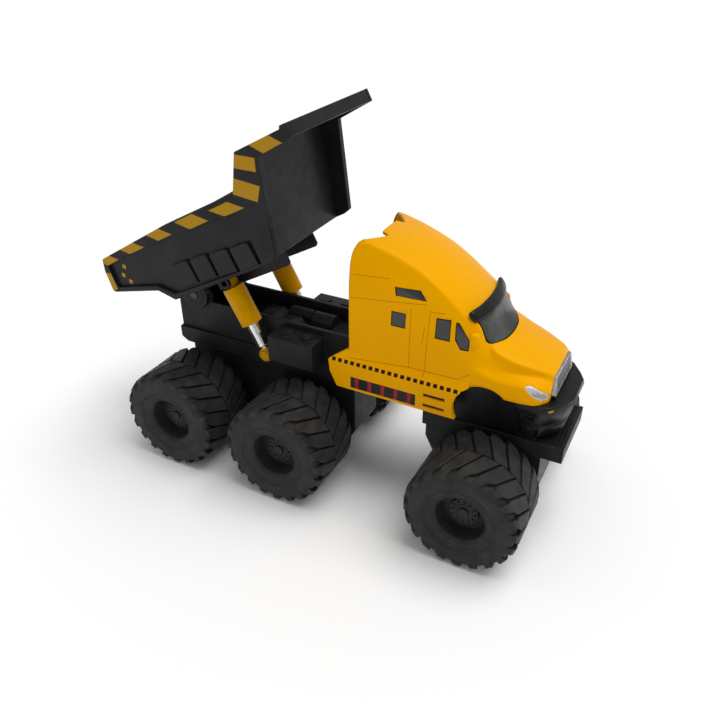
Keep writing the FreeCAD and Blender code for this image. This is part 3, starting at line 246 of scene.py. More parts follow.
AXLES = ("front", "middle", "rear")
SIDES = {"right": -1, "left": 1}
for axle in AXLES:
    for side in SIDES:
        tyre_piece("tyre_%s_%s" % (axle, side), axle + "_wheels")


# Rims: black plastic drums pressed in the tyres. The face has a flat outer ring, a
# stepped band and a deep bowl, with a bolted hub disc standing in the middle of it.

# Radius and distance out from the wheel's middle plane, in mm.
RIM_FACE = [(10.6, 10.55), (10.5, 10.65), (10.05, 10.65), (9.95, 10.5), (9.85, 10.5), (9.75, 10.62),
            (9.3, 10.6), (9.15, 10.4), (8.75, 10.35), (8.6, 10.5), (8.3, 10.48), (7.35, 9.75),
            (7.15, 9.5), (6.5, 5.3)]
HUB_FACE = [(4.3, 5.2), (4.3, 6.2), (4.15, 6.35), (2.75, 6.35), (2.65, 6.5), (2.3, 6.5), (2.2, 6.38),
            (1.65, 6.38), (1.55, 6.9), (1.35, 7.05), (0.9, 7.05), (0.8, 6.95), (0.0, 6.95)]
RIM_BACK = [(0.0, 4.0), (9.4, 4.0), (9.4, -10.65), (10.6, -10.65)]
RIM_STEPS = 72
BOLTS = 12
BOLT_RING = 3.45 * MM
BOLT_OUT = 6.5 * MM
BOLT_FOOT_R = 0.36 * MM
BOLT_TOP_R = 0.3 * MM
BOLT_TALL = 0.5 * MM
WELD = 0.001 * MM

rim_plastic = moulded("wheel_plastic", srgb(40, 40, 41), srgb(50, 50, 51), roughness=0.4, patch=4 * MM)


def rim_piece(node, body, side):
    """A lathed drum with a ring of bolt heads on its hub disc."""
    centre = middle(node)
    work = bmesh.new()
    front = [work.verts.new((0, across * MM, radius * MM)) for radius, across in RIM_FACE + HUB_FACE]
    back = [work.verts.new((0, across * MM, radius * MM)) for radius, across in RIM_BACK]
    edges = [work.edges.new(ends) for line in (front, back) for ends in zip(line, line[1:])]
    edges.append(work.edges.new((back[-1], front[0])))
    bmesh.ops.spin(work, geom=front + back + edges, cent=(0, 0, 0), axis=(0, 1, 0), angle=math.tau,
                   steps=RIM_STEPS, use_merge=True)
    bmesh.ops.remove_doubles(work, verts=work.verts, dist=WELD)
    bmesh.ops.recalc_face_normals(work, faces=work.faces)
    for number in range(BOLTS):
        turn = math.tau * number / BOLTS
        spot = Matrix.Translation((BOLT_RING * math.sin(turn), BOLT_OUT, BOLT_RING * math.cos(turn)))
        bmesh.ops.create_cone(work, cap_ends=True, segments=8, radius1=BOLT_FOOT_R, radius2=BOLT_TOP_R,
                              depth=BOLT_TALL, matrix=spot @ Matrix.Rotation(-math.pi / 2, 4, "X"))
    if side < 0:
        bmesh.ops.rotate(work, cent=(0, 0, 0), matrix=Matrix.Rotation(math.pi, 3, "Z"), verts=work.verts)
    bmesh.ops.translate(work, vec=centre, verts=work.verts)
    finished(work, "drum_" + node, body, [node], [rim_plastic], sharp=28)


for axle in AXLES:
    for side, sign in SIDES.items():
        rim_piece("rim_%s_%s" % (axle, side), axle + "_wheels", sign)


# Axles: three plain drawn steel pins. Each runs through a carrier and is pressed in the
# hubs of its two rims, so both wheels of an axle turn together.

def metal(name, dark, light, roughness):
    """A bright metal with faint drawing marks."""
    material = moulded(name, dark, light, roughness, patch=2 * MM, grain=0.2 * MM, depth=0.004 * MM)
    material.node_tree.nodes["Principled BSDF"].inputs["Metallic"].default_value = 1.0
    return material


def dress(node, material):
    """Gives a CAD node its material as it stands."""
    nodes[node].data.materials.clear()
    nodes[node].data.materials.append(material)


steel = metal("axle_steel", srgb(120, 120, 118), srgb(150, 150, 146), 0.38)
for axle in AXLES:
    dress("axle_" + axle, steel)


# Frame and axle carriers: black plastic mouldings, two rails with a bracket block for the
# bed's hinge, a box on each side, and a tread-plate platform under the nose.

FLAT_WITHIN = math.radians(0.6)
SHARP_FROM = math.radians(35)


def rounded(node, body, material, edge=0.25 * MM, segments=2):
    """A copy of a CAD node with its flat faces joined and its edges rounded, as a mould leaves them."""
    work = bmesh.new()
    work.from_mesh(nodes[node].data)
    bmesh.ops.remove_doubles(work, verts=work.verts, dist=2 * WELD)
    bmesh.ops.dissolve_limit(work, angle_limit=FLAT_WITHIN, use_dissolve_boundaries=False,
                             verts=work.verts, edges=work.edges, delimit={"NORMAL"})
    piece = finished(work, node + "_moulding", body, [node], [material])
    soften = piece.modifiers.new("rounded_edges", "BEVEL")
    soften.width = edge
    soften.segments = segments
    soften.limit_method = "ANGLE"
    soften.angle_limit = SHARP_FROM
    soften.use_clamp_overlap = False
    soften.harden_normals = True
    return piece


frame_plastic = moulded("frame_plastic", srgb(29, 29, 31), srgb(38, 38, 39), roughness=0.42)
rounded("bogie_carrier", "truck", frame_plastic, 0.3 * MM)
rounded("front_carrier", "truck", frame_plastic, 0.3 * MM)
rounded("chassis_frame", "truck", frame_plastic, 0.25 * MM)

# The tread plate's slanted studs: rows ahead from the cab, and columns out to each side, in mm.
STUD_PITCH = 1.15
STUD_ROWS = 34
STUDS_OUT = 9
FIRST_ROW = 36.0
STUD_LEVEL = 32.92
STUD_FOOT_R = 0.5 * MM
STUD_TOP_R = 0.32 * MM
STUD_TALL = 0.3 * MM
STUD_SLIM = (1.0, 0.45, 1.0)
work = bmesh.new()
for number in range(STUD_ROWS):
    for place in range(-STUDS_OUT, STUDS_OUT + 1):
        spot = Vector((FIRST_ROW + number * STUD_PITCH, place * STUD_PITCH, STUD_LEVEL)) * MM
        slant = Matrix.Rotation(math.radians(45 if (number + place) % 2 else -45), 3, "Z")
        stud = bmesh.ops.create_cone(work, cap_ends=True, segments=4, radius1=STUD_FOOT_R,
                                     radius2=STUD_TOP_R, depth=STUD_TALL)["verts"]
        bmesh.ops.scale(work, vec=STUD_SLIM, verts=stud)
        bmesh.ops.rotate(work, cent=(0, 0, 0), matrix=slant, verts=stud)
        bmesh.ops.translate(work, vec=spot, verts=stud)
finished(work, "tread_plate_studs", "truck", ["chassis_frame"], [frame_plastic])


# Deck gear: the tank, dome and pipe that show between the rails, moulded as one piece
# of black plastic and laid in the frame.

deck_plastic = moulded("deck_plastic", srgb(28, 28, 29), srgb(38, 37, 37), roughness=0.4)
rounded("deck_gear", "truck", deck_plastic, 0.2 * MM)


# Cab: one die-cast shell in thick glossy yellow enamel. The skin is a grid laid over a
# row of hoops from the sills to the middle of the roof, and the windows are cut in it.
# Lines of painted shade stand for the fine grooves of the doors and the sleeper, and a dashed line runs along
# each skirt.

# Each hoop: how far ahead of the origin, then half width and height of the belt, the shelf, the
# hollow above it and the crease along the roof or hood, and the height of the middle, in mm.
HOOPS = [
    (11.0, 15.2, 53.0, 15.2, 60.0, 14.9, 70.0, 14.2, 75.6, 76.3),
    (12.0, 15.3, 53.0, 15.2, 60.0, 14.8, 72.0, 13.5, 80.4, 81.2),
    (14.0, 15.3, 53.0, 15.2, 60.0, 14.6, 73.5, 12.8, 82.9, 83.8),
    (19.7, 15.3, 53.0, 15.2, 60.0, 14.6, 73.0, 12.4, 81.8, 83.1),
    (25.7, 15.3, 53.0, 15.2, 60.0, 14.6, 71.8, 12.3, 79.8, 81.5),
    (31.7, 15.3, 53.0, 15.2, 60.0, 14.5, 70.0, 12.3, 77.2, 79.1),
    (37.7, 15.3, 53.0, 15.2, 60.0, 14.4, 68.0, 12.5, 73.4, 75.5),
    (42.2, 15.3, 53.0, 15.2, 59.0, 14.3, 65.5, 12.7, 69.9, 72.2),
    (45.7, 15.3, 53.0, 15.2, 57.0, 14.2, 63.0, 12.9, 67.2, 69.7),
    (49.0, 15.3, 53.0, 14.8, 55.0, 13.7, 61.0, 12.0, 65.0, 67.5),
    (52.2, 15.3, 52.6, 14.0, 54.0, 12.8, 57.5, 11.3, 60.3, 62.3),
    (54.5, 15.2, 51.9, 13.7, 53.3, 12.3, 55.4, 12.3, 58.6, 60.5),
    (58.0, 15.1, 51.3, 13.4, 52.7, 11.6, 53.9, 12.0, 57.1, 58.8),
    (62.0, 15.0, 51.4, 13.1, 52.8, 10.9, 53.3, 11.2, 55.9, 57.4),
    (66.0, 14.4, 51.4, 12.0, 52.6, 9.8, 52.9, 9.8, 54.8, 55.9),
    (68.6, 12.9, 50.4, 10.9, 51.7, 9.0, 52.2, 8.7, 53.9, 54.8),
    (69.9, 10.6, 49.4, 9.6, 50.8, 8.3, 51.5, 7.8, 53.0, 53.8),
]
SILL_Z = 46.4
ARCH_X, ARCH_Z, ARCH_R = 53.0, 40.6, 8.15
# How far the hoops' turns at the belt, the shelf, the hollow and the crease reach, in mm, their
# steps, and the most of a side that a turn takes. Then the points between two turns, the crown
# of the roof and its steps in to the middle, and where and how far the walls tuck in at the rear.
BELT_TURN, SHELF_TURN, HOLLOW_TURN, CREASE_TURN = 0.8, 0.9, 1.6, 0.9
TURN_STEPS, CREASE_STEPS = 3, 5
SIDE_SHARE = 0.45
BETWEEN = (0.25, 0.5, 0.75)
ROOF_CROWN = 2.3
ROOF_SHARES = (0.9, 0.78, 0.66, 0.55, 0.42, 0.35, 0.2, 0.0)
REAR_END = 12.0
REAR_TUCK = 0.7
# The rear edge of the roof seen from above: distance from the middle, then how far ahead.
ROOF_HOOP = 14.0
ROOF_EDGE = [(0.0, 16.6), (4.4, 16.6), (5.2, 19.0), (8.4, 17.2), (11.6, 13.9), (13.0, 11.0)]
SIDE_WINDOWS = [
    [(25.2, 72.6), (32.5, 72.7), (34.7, 70.1), (25.7, 70.1)],
    [(24.6, 65.4), (29.0, 65.4), (28.9, 60.8), (24.6, 60.8)],
    [(37.8, 66.2), (41.9, 66.3), (42.2, 60.1), (37.8, 60.1)],
    [(43.2, 65.8), (44.1, 65.8), (47.6, 61.2), (47.5, 58.3), (45.2, 58.4), (43.5, 60.9)],
]
WINDSCREEN = [(-11.8, 61.1), (-11.5, 60.4), (-10.8, 60.1), (-6.0, 59.8), (6.0, 59.8), (10.8, 60.1),
              (11.5, 60.4), (11.8, 61.1), (11.3, 66.9), (-11.3, 66.9)]
ALMOND = [(63.8, 51.8), (64.5, 52.05), (65.5, 52.0), (66.9, 51.5), (68.2, 50.75), (69.3, 49.6), (69.84, 48.6),
          (69.8, 47.9), (69.2, 47.6), (68.2, 47.9), (66.5, 48.75), (65.3, 49.6), (64.2, 50.9)]
# Where the cuts of the windscreen, a headlight and a side window stay, in mm.
SCREEN_X, SCREEN_Z = (46.5, 57.5), (57.5, 69.0)
LAMP_X, LAMP_OUT, LAMP_TOP = (61.5, 69.95), 8.9, 52.9
WALL_OUT, BESIDE_X, BESIDE_Z = 11.5, 2.0, 6.0
ROW_PITCH, FINE_PITCH = 0.75, 0.2
NOSE_X, NOSE_FOOT = 69.89, 46.5
SKIN = 0.9 * MM


def eased(knots, x):
    """A smooth curve through points in order of x, with no overshoot between them."""
    slopes = [(after[1] - before[1]) / (after[0] - before[0]) for before, after in zip(knots, knots[1:])]
    tangents = [slopes[0]]
    for before, after in zip(slopes, slopes[1:]):
        tangents.append(2 * before * after / (before + after) if before * after > 0 else 0.0)
    tangents.append(slopes[-1])
    place = max(i for i in range(len(knots) - 1) if i == 0 or knots[i][0] <= x)
    (x0, y0), (x1, y1) = knots[place], knots[place + 1]
    share = (x - x0) / (x1 - x0)
    bow = (tangents[place] * (1 - share) - tangents[place + 1] * share) * (x1 - x0)
    blend = share * share * (3 - 2 * share)
    return y0 + (y1 - y0) * blend + share * (1 - share) * bow


def turned_corner(before, here, after, reach, steps):
    """Points round one corner of an outline, as far as a reach to each side of it."""
    back = (before - here).normalized() * min(reach, SIDE_SHARE * (before - here).length)
    ahead = (after - here).normalized() * min(reach, SIDE_SHARE * (after - here).length)
    return [here + back * (1 - i / steps) ** 2 + ahead * (i / steps) ** 2 for i in range(steps + 1)]


def hoop(x):
    """Half of the cab's outline at one x, from the sill up and in to the middle, in mm."""
    values = [eased([(row[0], row[i]) for row in HOOPS], x) for i in range(1, 10)]
    rounding = max(0.0, REAR_END - x)
    tuck = REAR_TUCK * (1 - math.sqrt(1 - rounding * rounding))
    belt, shelf, hollow, crease = [Vector((values[i] - tuck, values[i + 1])) for i in (0, 2, 4, 6)]
    arch = ARCH_R * ARCH_R - (x - ARCH_X) ** 2
    low = max(SILL_Z, ARCH_Z + math.sqrt(arch)) if arch > 0 else SILL_Z
    sill = Vector((belt.x, low))
    drop = values[8] - crease.y
    roof = [Vector((crease.x * share, values[8] - drop * share ** ROOF_CROWN)) for share in ROOF_SHARES]
    runs = [[sill], turned_corner(sill, belt, shelf, BELT_TURN, TURN_STEPS),
            turned_corner(belt, shelf, hollow, SHELF_TURN, TURN_STEPS),
            turned_corner(shelf, hollow, crease, HOLLOW_TURN, TURN_STEPS),
            turned_corner(hollow, crease, roof[0], CREASE_TURN, CREASE_STEPS)]
    points = []
    for run, after in zip(runs, runs[1:]):
        points += run
        points += [run[-1].lerp(after[0], share) for share in BETWEEN]
    return points + runs[-1] + roof


def cut_outline(work, corners, axis, near):
    """Cuts along the sides of an outline seen along one axis, and gives the faces inside it."""
    across = [i for i in (0, 1, 2) if i != axis]
    flat = [Vector(corner) * MM for corner in corners]
    centre = sum(flat, Vector((0, 0))) / len(flat)
    for first, second in zip(flat, flat[1:] + flat[:1]):
        local = [face for face in work.faces if near(face.calc_center_median())]
        geometry = dict.fromkeys(local)
        for face in local:
            geometry.update(dict.fromkeys(face.edges))
            geometry.update(dict.fromkeys(face.verts))
        place, normal = Vector((0, 0, 0)), Vector((0, 0, 0))
        side = Vector((first.y - second.y, second.x - first.x))
        for i, axis_number in enumerate(across):
            place[axis_number] = first[i]
            normal[axis_number] = side[i]
        bmesh.ops.bisect_plane(work, geom=list(geometry), plane_co=place, plane_no=normal)
    inside = []
    for face in work.faces:
        face_middle = face.calc_center_median()
        spot = Vector([face_middle[i] for i in across])
        sides = []
        for first, second in zip(flat, flat[1:] + flat[:1]):
            run = second - first
            sides.append(run.cross(spot - first) * run.cross(centre - first) > 0)
        if all(sides) and near(face_middle):
            inside.append(face)
    return inside


def fed(tree, kind, operation, inputs):
    """A node that works on its inputs in order: sockets are linked, plain values are set."""
    node = tree.nodes.new(kind)
    node.operation = operation
    for socket, value in zip(node.inputs, inputs):
        if isinstance(value, bpy.types.NodeSocket):
            tree.links.new(value, socket)
        else:
            socket.default_value = value
    return node


def maths(tree, operation, *inputs):
    """What a maths node makes of numbers."""
    return fed(tree, "ShaderNodeMath", operation, inputs).outputs["Value"]


def vector_maths(tree, operation, *inputs):
    """What a vector maths node makes of vectors."""
    node = fed(tree, "ShaderNodeVectorMath", operation, inputs)
    return node.outputs["Value" if operation in ("DOT_PRODUCT", "DISTANCE") else "Vector"]


def either(tree, first, second):
    """The larger of two shares."""
    return maths(tree, "MAXIMUM", first, second)


def both(tree, first, second):
    """Two shares multiplied."""
    return maths(tree, "MULTIPLY", first, second)


def axis_value(tree, axis):
    """How far along one axis a point lies."""
    split = tree.nodes.new("ShaderNodeSeparateXYZ")
    tree.links.new(object_place(tree), split.inputs["Vector"])
    return split.outputs[axis]


def line_share(tree, ends, width, soft):
    """1 on a line between two points seen from the side, in mm, and 0 away from it."""
    first, second = [Vector((x, 0, z)) * MM for x, z in ends]
    run = second - first
    flat = vector_maths(tree, "MULTIPLY", object_place(tree), (1, 0, 1))
    offset = vector_maths(tree, "SUBTRACT", flat, first)
    held = tree.nodes.new("ShaderNodeClamp")
    along = vector_maths(tree, "DOT_PRODUCT", offset, run / run.length_squared)
    tree.links.new(along, held.inputs["Value"])
    foot = vector_maths(tree, "MULTIPLY", held.outputs["Result"], run)
    away = vector_maths(tree, "DISTANCE", offset, foot)
    return rise(tree, away, (width / 2 + soft) * MM, max(width / 2 - soft, 0.0) * MM)


def along_axis(tree, axis, low, high, soft=0.05 * MM, mirrored=False):
    """1 between two levels of one axis, 0 outside them. Mirrored takes the distance from the middle."""
    value = axis_value(tree, axis)
    if mirrored:
        value = maths(tree, "ABSOLUTE", value)
    return both(tree, rise(tree, value, low - soft, low + soft), rise(tree, value, high + soft, high - soft))


def dashes(tree, start, pitch, share, axis="X"):
    """1 on the dashes of a row along an axis, which begin at a start and repeat at a pitch."""
    turns = maths(tree, "DIVIDE", maths(tree, "SUBTRACT", axis_value(tree, axis), start), pitch)
    return maths(tree, "LESS_THAN", maths(tree, "FRACT", turns), share)


# The grooves of the doors, the sleeper and the handles, seen from the side, in mm.
GROOVES = [
    [(12.8, 73.7), (27.0, 74.7)], [(12.0, 66.6), (34.8, 69.3)], [(36.0, 68.1), (35.3, 46.6)],
    [(30.5, 67.3), (30.5, 48.8)], [(36.3, 67.5), (43.7, 67.9)], [(34.7, 62.8), (34.2, 57.0)],
    [(11.0, 47.2), (30.9, 48.9)], [(30.9, 48.9), (45.3, 49.1)], [(45.3, 49.1), (48.6, 51.7)],
]
GROOVE_WIDTH, GROOVE_SOFT = 0.12, 0.08
WALL_Y = (14.0 * MM, 16.2 * MM)
# The dashed line along each skirt.
DASHED_X, DASHED_Y, DASHED_Z = (6.4 * MM, 47.3 * MM), (16.0 * MM, 17.4 * MM), (45.5 * MM, 46.55 * MM)
DASH_START, DASH_PITCH, DASH_SHARE = 6.5 * MM, 2.02 * MM, 0.62
ENAMEL_TINT = srgb(255, 185, 0)

enamel = moulded("cab_enamel", srgb(237, 165, 0), srgb(242, 170, 0), roughness=0.28, patch=30 * MM,
                 grain=1.6 * MM, depth=0.003 * MM, shine=0.14)
enamel.node_tree.nodes["Principled BSDF"].inputs["Specular Tint"].default_value = ENAMEL_TINT
tree = enamel.node_tree
# The grooves are not cut in the skin: a darker yellow is painted along them as the shade inside them.
groove_shade = line_share(tree, GROOVES[0], GROOVE_WIDTH, GROOVE_SOFT)
for ends in GROOVES[1:]:
    groove_shade = either(tree, groove_shade, line_share(tree, ends, GROOVE_WIDTH, GROOVE_SOFT))
overlay(enamel, both(tree, groove_shade, along_axis(tree, "Y", *WALL_Y, mirrored=True)), srgb(150, 96, 2))
row = both(tree, along_axis(tree, "Z", *DASHED_Z), along_axis(tree, "X", *DASHED_X))
row = both(tree, row, along_axis(tree, "Y", *DASHED_Y, mirrored=True))
overlay(enamel, both(tree, row, dashes(tree, DASH_START, DASH_PITCH, DASH_SHARE)), srgb(30, 26, 22))

rows = []
x = HOOPS[0][0]
while x < HOOPS[-1][0]:
    rows.append(x)
    x += FINE_PITCH if x < REAR_END else ROW_PITCH
rows.append(HOOPS[-1][0])
half = len(hoop(rows[0]))
roof_start = half - len(ROOF_SHARES) - 2


def cab_grid():
    """The cab's outer surface: a grid laid over the hoops, from sill to sill."""
    work = bmesh.new()
    last = 2 * half - 2
    bmesh.ops.create_grid(work, x_segments=last, y_segments=len(rows) - 1, size=1.0)
    for vert in work.verts:
        place = round((vert.co.x + 1) / 2 * last)
        number = round((vert.co.y + 1) / 2 * (len(rows) - 1))
        share = (rows[number] - rows[0]) / (rows[-1] - rows[0])
        side = -1 if place < half else 1
        step = place if place < half else last - place
        x = rows[number]
        if step > roof_start:
            start = eased(ROOF_EDGE, min(hoop(ROOF_HOOP)[step].x, ROOF_EDGE[-1][0]))
            x = start + (rows[-1] - start) * share
        point = hoop(x)[step]
        vert.co = Vector((x, side * point.x, point.y)) * MM
    bmesh.ops.remove_doubles(work, verts=work.verts, dist=WELD)
    return work


def side_test(corners, sign):
    """Whether a point is on one side wall of the cab, near an outline seen from the side."""
    xs = [corner[0] for corner in corners]
    zs = [corner[1] for corner in corners]
    return lambda spot: (min(xs) - BESIDE_X < spot.x / MM < max(xs) + BESIDE_X
                         and min(zs) - BESIDE_Z < spot.z / MM < max(zs) + BESIDE_Z
                         and spot.y * sign > WALL_OUT * MM)


def screen_test(spot):
    """Whether a point is on the front of the cab, near the windscreen."""
    return SCREEN_X[0] < spot.x / MM < SCREEN_X[1] and SCREEN_Z[0] < spot.z / MM < SCREEN_Z[1]


def lamp_test(sign):
    """Whether a point is on one side of the nose, near the headlight."""
    return lambda spot: (LAMP_X[0] < spot.x / MM < LAMP_X[1] and spot.y * sign > LAMP_OUT * MM
                         and spot.z < LAMP_TOP * MM)


GLASS = [(WINDSCREEN, 0, screen_test)]
LAMPS = []
for sign in SIDES.values():
    LAMPS.append((ALMOND, 1, lamp_test(sign)))
    for corners in SIDE_WINDOWS:
        GLASS.append((corners, 1, side_test(corners, sign)))
work = cab_grid()
for outline in GLASS + LAMPS:
    bmesh.ops.delete(work, geom=cut_outline(work, *outline), context="FACES")
nose = [vert for vert in work.verts if vert.co.x > NOSE_X * MM]
feet = sorted((vert for vert in nose if vert.co.z < NOSE_FOOT * MM), key=lambda vert: vert.co.y)
work.edges.new((feet[0], feet[-1]))
rim = [edge for edge in work.edges if all(vert in nose for vert in edge.verts)]
bmesh.ops.contextual_create(work, geom=rim)
bmesh.ops.recalc_face_normals(work, faces=work.faces)
if sum(face.normal.z * face.calc_area() for face in work.faces) < 0:
    bmesh.ops.reverse_faces(work, faces=work.faces)
shell = finished(work, "cab_skin", "truck", ["cab_shell"], [enamel], sharp=50)
thick = shell.modifiers.new("wall", "SOLIDIFY")
thick.thickness = SKIN
thick.offset = -1

# The skirts are cast with the shell: plates that hang outside the frame and slope in to the cab,
# with a flat recess for a black inlay and two louvres ahead of it. The rear wall stops below the
# open back of the roof, and a small lug for a mirror stands at the foot of each door pillar.
SKIRT_OUT = 17.1
SKIRT_IN = 15.5
SHOULDER_Z = 45.5
SKIRT_TOP_Z = 49.3
SKIRT_OUTLINE = [(10.7, 49.3), (5.3, 45.5), (5.7, 41.6), (7.9, 37.0), (8.3, 36.8)]
SKIRT_FRONT = [(49.0, 48.5), (48.8, 49.3)]
SKIRT_LEAN = 1.9
SKIRT_EDGE = 0.22 * MM
SKIRT_FOLD = math.radians(20)
# Each recess: its low corner, then its high corner, seen from the side.
RECESSES = [(12.7, 37.6, 33.7, 41.4), (36.0, 38.2, 42.6, 39.2), (36.0, 41.6, 42.6, 42.7)]
RECESS_DEEP = 0.62
ARCH_FOOT, ARCH_TOP = 36.8, 47.6
ARCH_STEPS = 10
NEAR = 0.01

trim_plastic = moulded("trim_plastic", srgb(30, 31, 31), srgb(40, 41, 41), roughness=0.45)


def skirt_piece(side, sign):
    """A plate cut to its outline, pressed out in thickness, with its top half leaned in to the cab."""
    arc = []
    for number in range(ARCH_STEPS + 1):
        z = ARCH_FOOT + (ARCH_TOP - ARCH_FOOT) * number / ARCH_STEPS
        arc.append((ARCH_X - math.sqrt(ARCH_R * ARCH_R - (z - ARCH_Z) ** 2), z))
    work = bmesh.new()
    outline = SKIRT_OUTLINE + arc + SKIRT_FRONT
    plate = work.faces.new([work.verts.new((x * MM, sign * SKIRT_IN * MM, z * MM)) for x, z in outline])
    outer = parts_made(bmesh.ops.extrude_face_region(work, geom=[plate]), bmesh.types.BMVert)
    bmesh.ops.translate(work, vec=(0, sign * (SKIRT_OUT - SKIRT_IN) * MM, 0), verts=outer)
    lines = [((0, 0, SHOULDER_Z), (0, 0, 1))]
    for low_x, low_z, high_x, high_z in RECESSES:
        lines += [((low_x, 0, 0), (1, 0, 0)), ((high_x, 0, 0), (1, 0, 0))]
        lines += [((0, 0, low_z), (0, 0, 1)), ((0, 0, high_z), (0, 0, 1))]
    for place, normal in lines:
        geometry = work.verts[:] + work.edges[:] + work.faces[:]
        bmesh.ops.bisect_plane(work, geom=geometry, plane_co=Vector(place) * MM, plane_no=normal)
    bmesh.ops.recalc_face_normals(work, faces=work.faces)
    for low_x, low_z, high_x, high_z in RECESSES:
        chosen = []
        for face in work.faces:
            spot = face.calc_center_median() / MM
            if low_x < spot.x < high_x and low_z < spot.z < high_z and abs(spot.y) > SKIRT_OUT - NEAR:
                chosen.append(face)
        sunk = bmesh.ops.extrude_face_region(work, geom=chosen)
        bmesh.ops.delete(work, geom=chosen, context="FACES")
        bottom = parts_made(sunk, bmesh.types.BMVert)
        bmesh.ops.translate(work, vec=(0, -sign * RECESS_DEEP * MM, 0), verts=bottom)
        for face in parts_made(sunk, bmesh.types.BMFace):
            face.material_index = 1
    for vert in work.verts:
        above = vert.co.z / MM - SHOULDER_Z
        if above > NEAR:
            vert.co.y -= sign * above / (SKIRT_TOP_Z - SHOULDER_Z) * SKIRT_LEAN * MM
    bmesh.ops.remove_doubles(work, verts=work.verts, dist=WELD)
    bmesh.ops.recalc_face_normals(work, faces=work.faces)
    folds = [edge for edge in work.edges if len(edge.link_faces) == 2]
    sharp = [edge for edge in folds if edge.calc_face_angle() > SKIRT_FOLD]
    bevelled(work, sharp, SKIRT_EDGE, clamped=True)
    skirt = finished(work, "cab_skirt_" + side, "truck", ["cab_shell"],
                     [enamel, trim_plastic], sharp=48)
    level_shading(skirt)


def block(work, low, high, edge):
    """A box between two corners, in mm, with rounded edges."""
    low, high = Vector(low) * MM, Vector(high) * MM
    made = bmesh.ops.create_cube(work, size=1.0)["verts"]
    bmesh.ops.scale(work, vec=high - low, verts=made)
    bmesh.ops.translate(work, vec=(low + high) / 2, verts=made)
    bevelled(work, list(dict.fromkeys(rim for vert in made for rim in vert.link_edges)), edge)


for side, sign in SIDES.items():
    skirt_piece(side, sign)

# Low and high corners of the rear wall, and a mirror lug's ends along each axis, in mm.
REAR_WALL = ((11.1, -14.6, 46.6), (12.2, 14.6, 71.0))
REAR_WALL_EDGE = 0.2 * MM
MIRROR_LUG_X, MIRROR_LUG_OUT, MIRROR_LUG_Z = (47.3, 49.8), (12.0, 14.6), (59.2, 63.6)
MIRROR_LUG_EDGE = 0.85 * MM
work = bmesh.new()
block(work, *REAR_WALL, REAR_WALL_EDGE)
for sign in SIDES.values():
    lug_y = sorted(sign * out for out in MIRROR_LUG_OUT)
    lug_low, lug_high = zip(MIRROR_LUG_X, lug_y, MIRROR_LUG_Z)
    block(work, lug_low, lug_high, MIRROR_LUG_EDGE)
finished(work, "cab_rear_and_lugs", "truck", ["cab_shell"], [enamel], sharp=30)


# Skirt panels: inlays of black plastic that sit in the skirts' recesses, with five upright
# slots each, picked out in dark red paint.

RED_X, RED_Z = (12.7 * MM, 33.7 * MM), (37.8 * MM, 41.2 * MM)
RED_START, RED_PITCH, RED_SHARE = 14.15 * MM, 4.2 * MM, 0.31
tree = trim_plastic.node_tree
red_slots = both(tree, along_axis(tree, "X", *RED_X), along_axis(tree, "Z", *RED_Z))
red_slots = both(tree, red_slots, dashes(tree, RED_START, RED_PITCH, RED_SHARE))
overlay(trim_plastic, red_slots, srgb(158, 42, 54))
rounded("skirt_panels", "truck", trim_plastic, 0.1 * MM)


# Glazing: one smoked plastic moulding that lines the cab, nearly opaque from outside. Its panes
# stand out into the window openings and end in a thin dark rim of painted shade.

PANE_WALL = 0.35 * MM
smoked = moulded("smoked_glazing", srgb(28, 28, 27), srgb(42, 42, 41), roughness=0.14, patch=10 * MM,
                 grain=1.0 * MM, depth=0.002 * MM, shine=0.6)
# The windscreen is the same smoked plastic, painted lighter: a painted reflection of the bright sky above it.
screen_glass_painted_reflection = moulded("screen_glass_painted_reflection", srgb(45, 47, 45), srgb(72, 75, 72), roughness=0.16, patch=7 * MM,
                       grain=1.0 * MM, depth=0.002 * MM, shine=0.4)
# Near black painted round the edge of each pane: painted shade where the opening's edge shades it.
pane_rim_shade = moulded("pane_rim_shade", srgb(14, 14, 14), srgb(22, 22, 22), roughness=0.5)


def filled(name, node, outlines, sink, rim, materials):
    """Panes cut from the cab's own outer surface, sunk in their openings, with a rim round each."""
    whole = bmesh.new()
    for corners, axis, near in outlines:
        part = cab_grid()
        pane = set(cut_outline(part, corners, axis, near))
        bmesh.ops.delete(part, geom=[face for face in part.faces if face not in pane], context="FACES")
        centre = sum((Vector(corner) for corner in corners), Vector((0, 0))) / len(corners)
        inner = []
        for corner in corners:
            inward = (centre - Vector(corner)).normalized()
            inner.append(tuple(Vector(corner) + inward * rim))
        clear = set(cut_outline(part, inner, axis, near))
        for face in part.faces:
            face.material_index = 0 if face in clear else 1
        bmesh.ops.recalc_face_normals(part, faces=part.faces)
        largest = max(part.faces, key=lambda item: item.calc_area())
        sideways = math.copysign(1.0, largest.calc_center_median().y) if axis == 1 else 0.0
        if largest.normal.dot(Vector((0.4, sideways, 0.4))) < 0:
            bmesh.ops.reverse_faces(part, faces=part.faces)
        part.normal_update()
        moved = [(vert, vert.co - vert.normal * sink * MM) for vert in part.verts]
        for vert, place in moved:
            vert.co = place
        add_shape(whole, part)
    piece = finished(whole, name, "truck", [node], materials, sharp=60)
    wall = piece.modifiers.new("wall", "SOLIDIFY")
    wall.thickness = PANE_WALL
    wall.offset = -1


filled("windscreen_pane", "cab_glazing", GLASS[:1], sink=0.08, rim=0.65,
       materials=[screen_glass_painted_reflection, pane_rim_shade])
filled("side_panes", "cab_glazing", GLASS[1:], sink=0.12, rim=0.4,
       materials=[smoked, pane_rim_shade])
rounded("cab_glazing", "truck", smoked, 0.1 * MM, 1)


# Visor: a slim rounded band of black plastic, bowed round the top of the windscreen and
# drawn in to a blunt tip at each end.

visor_plastic = moulded("visor_plastic", srgb(15, 14, 15), srgb(24, 23, 24), roughness=0.3, shine=0.25)
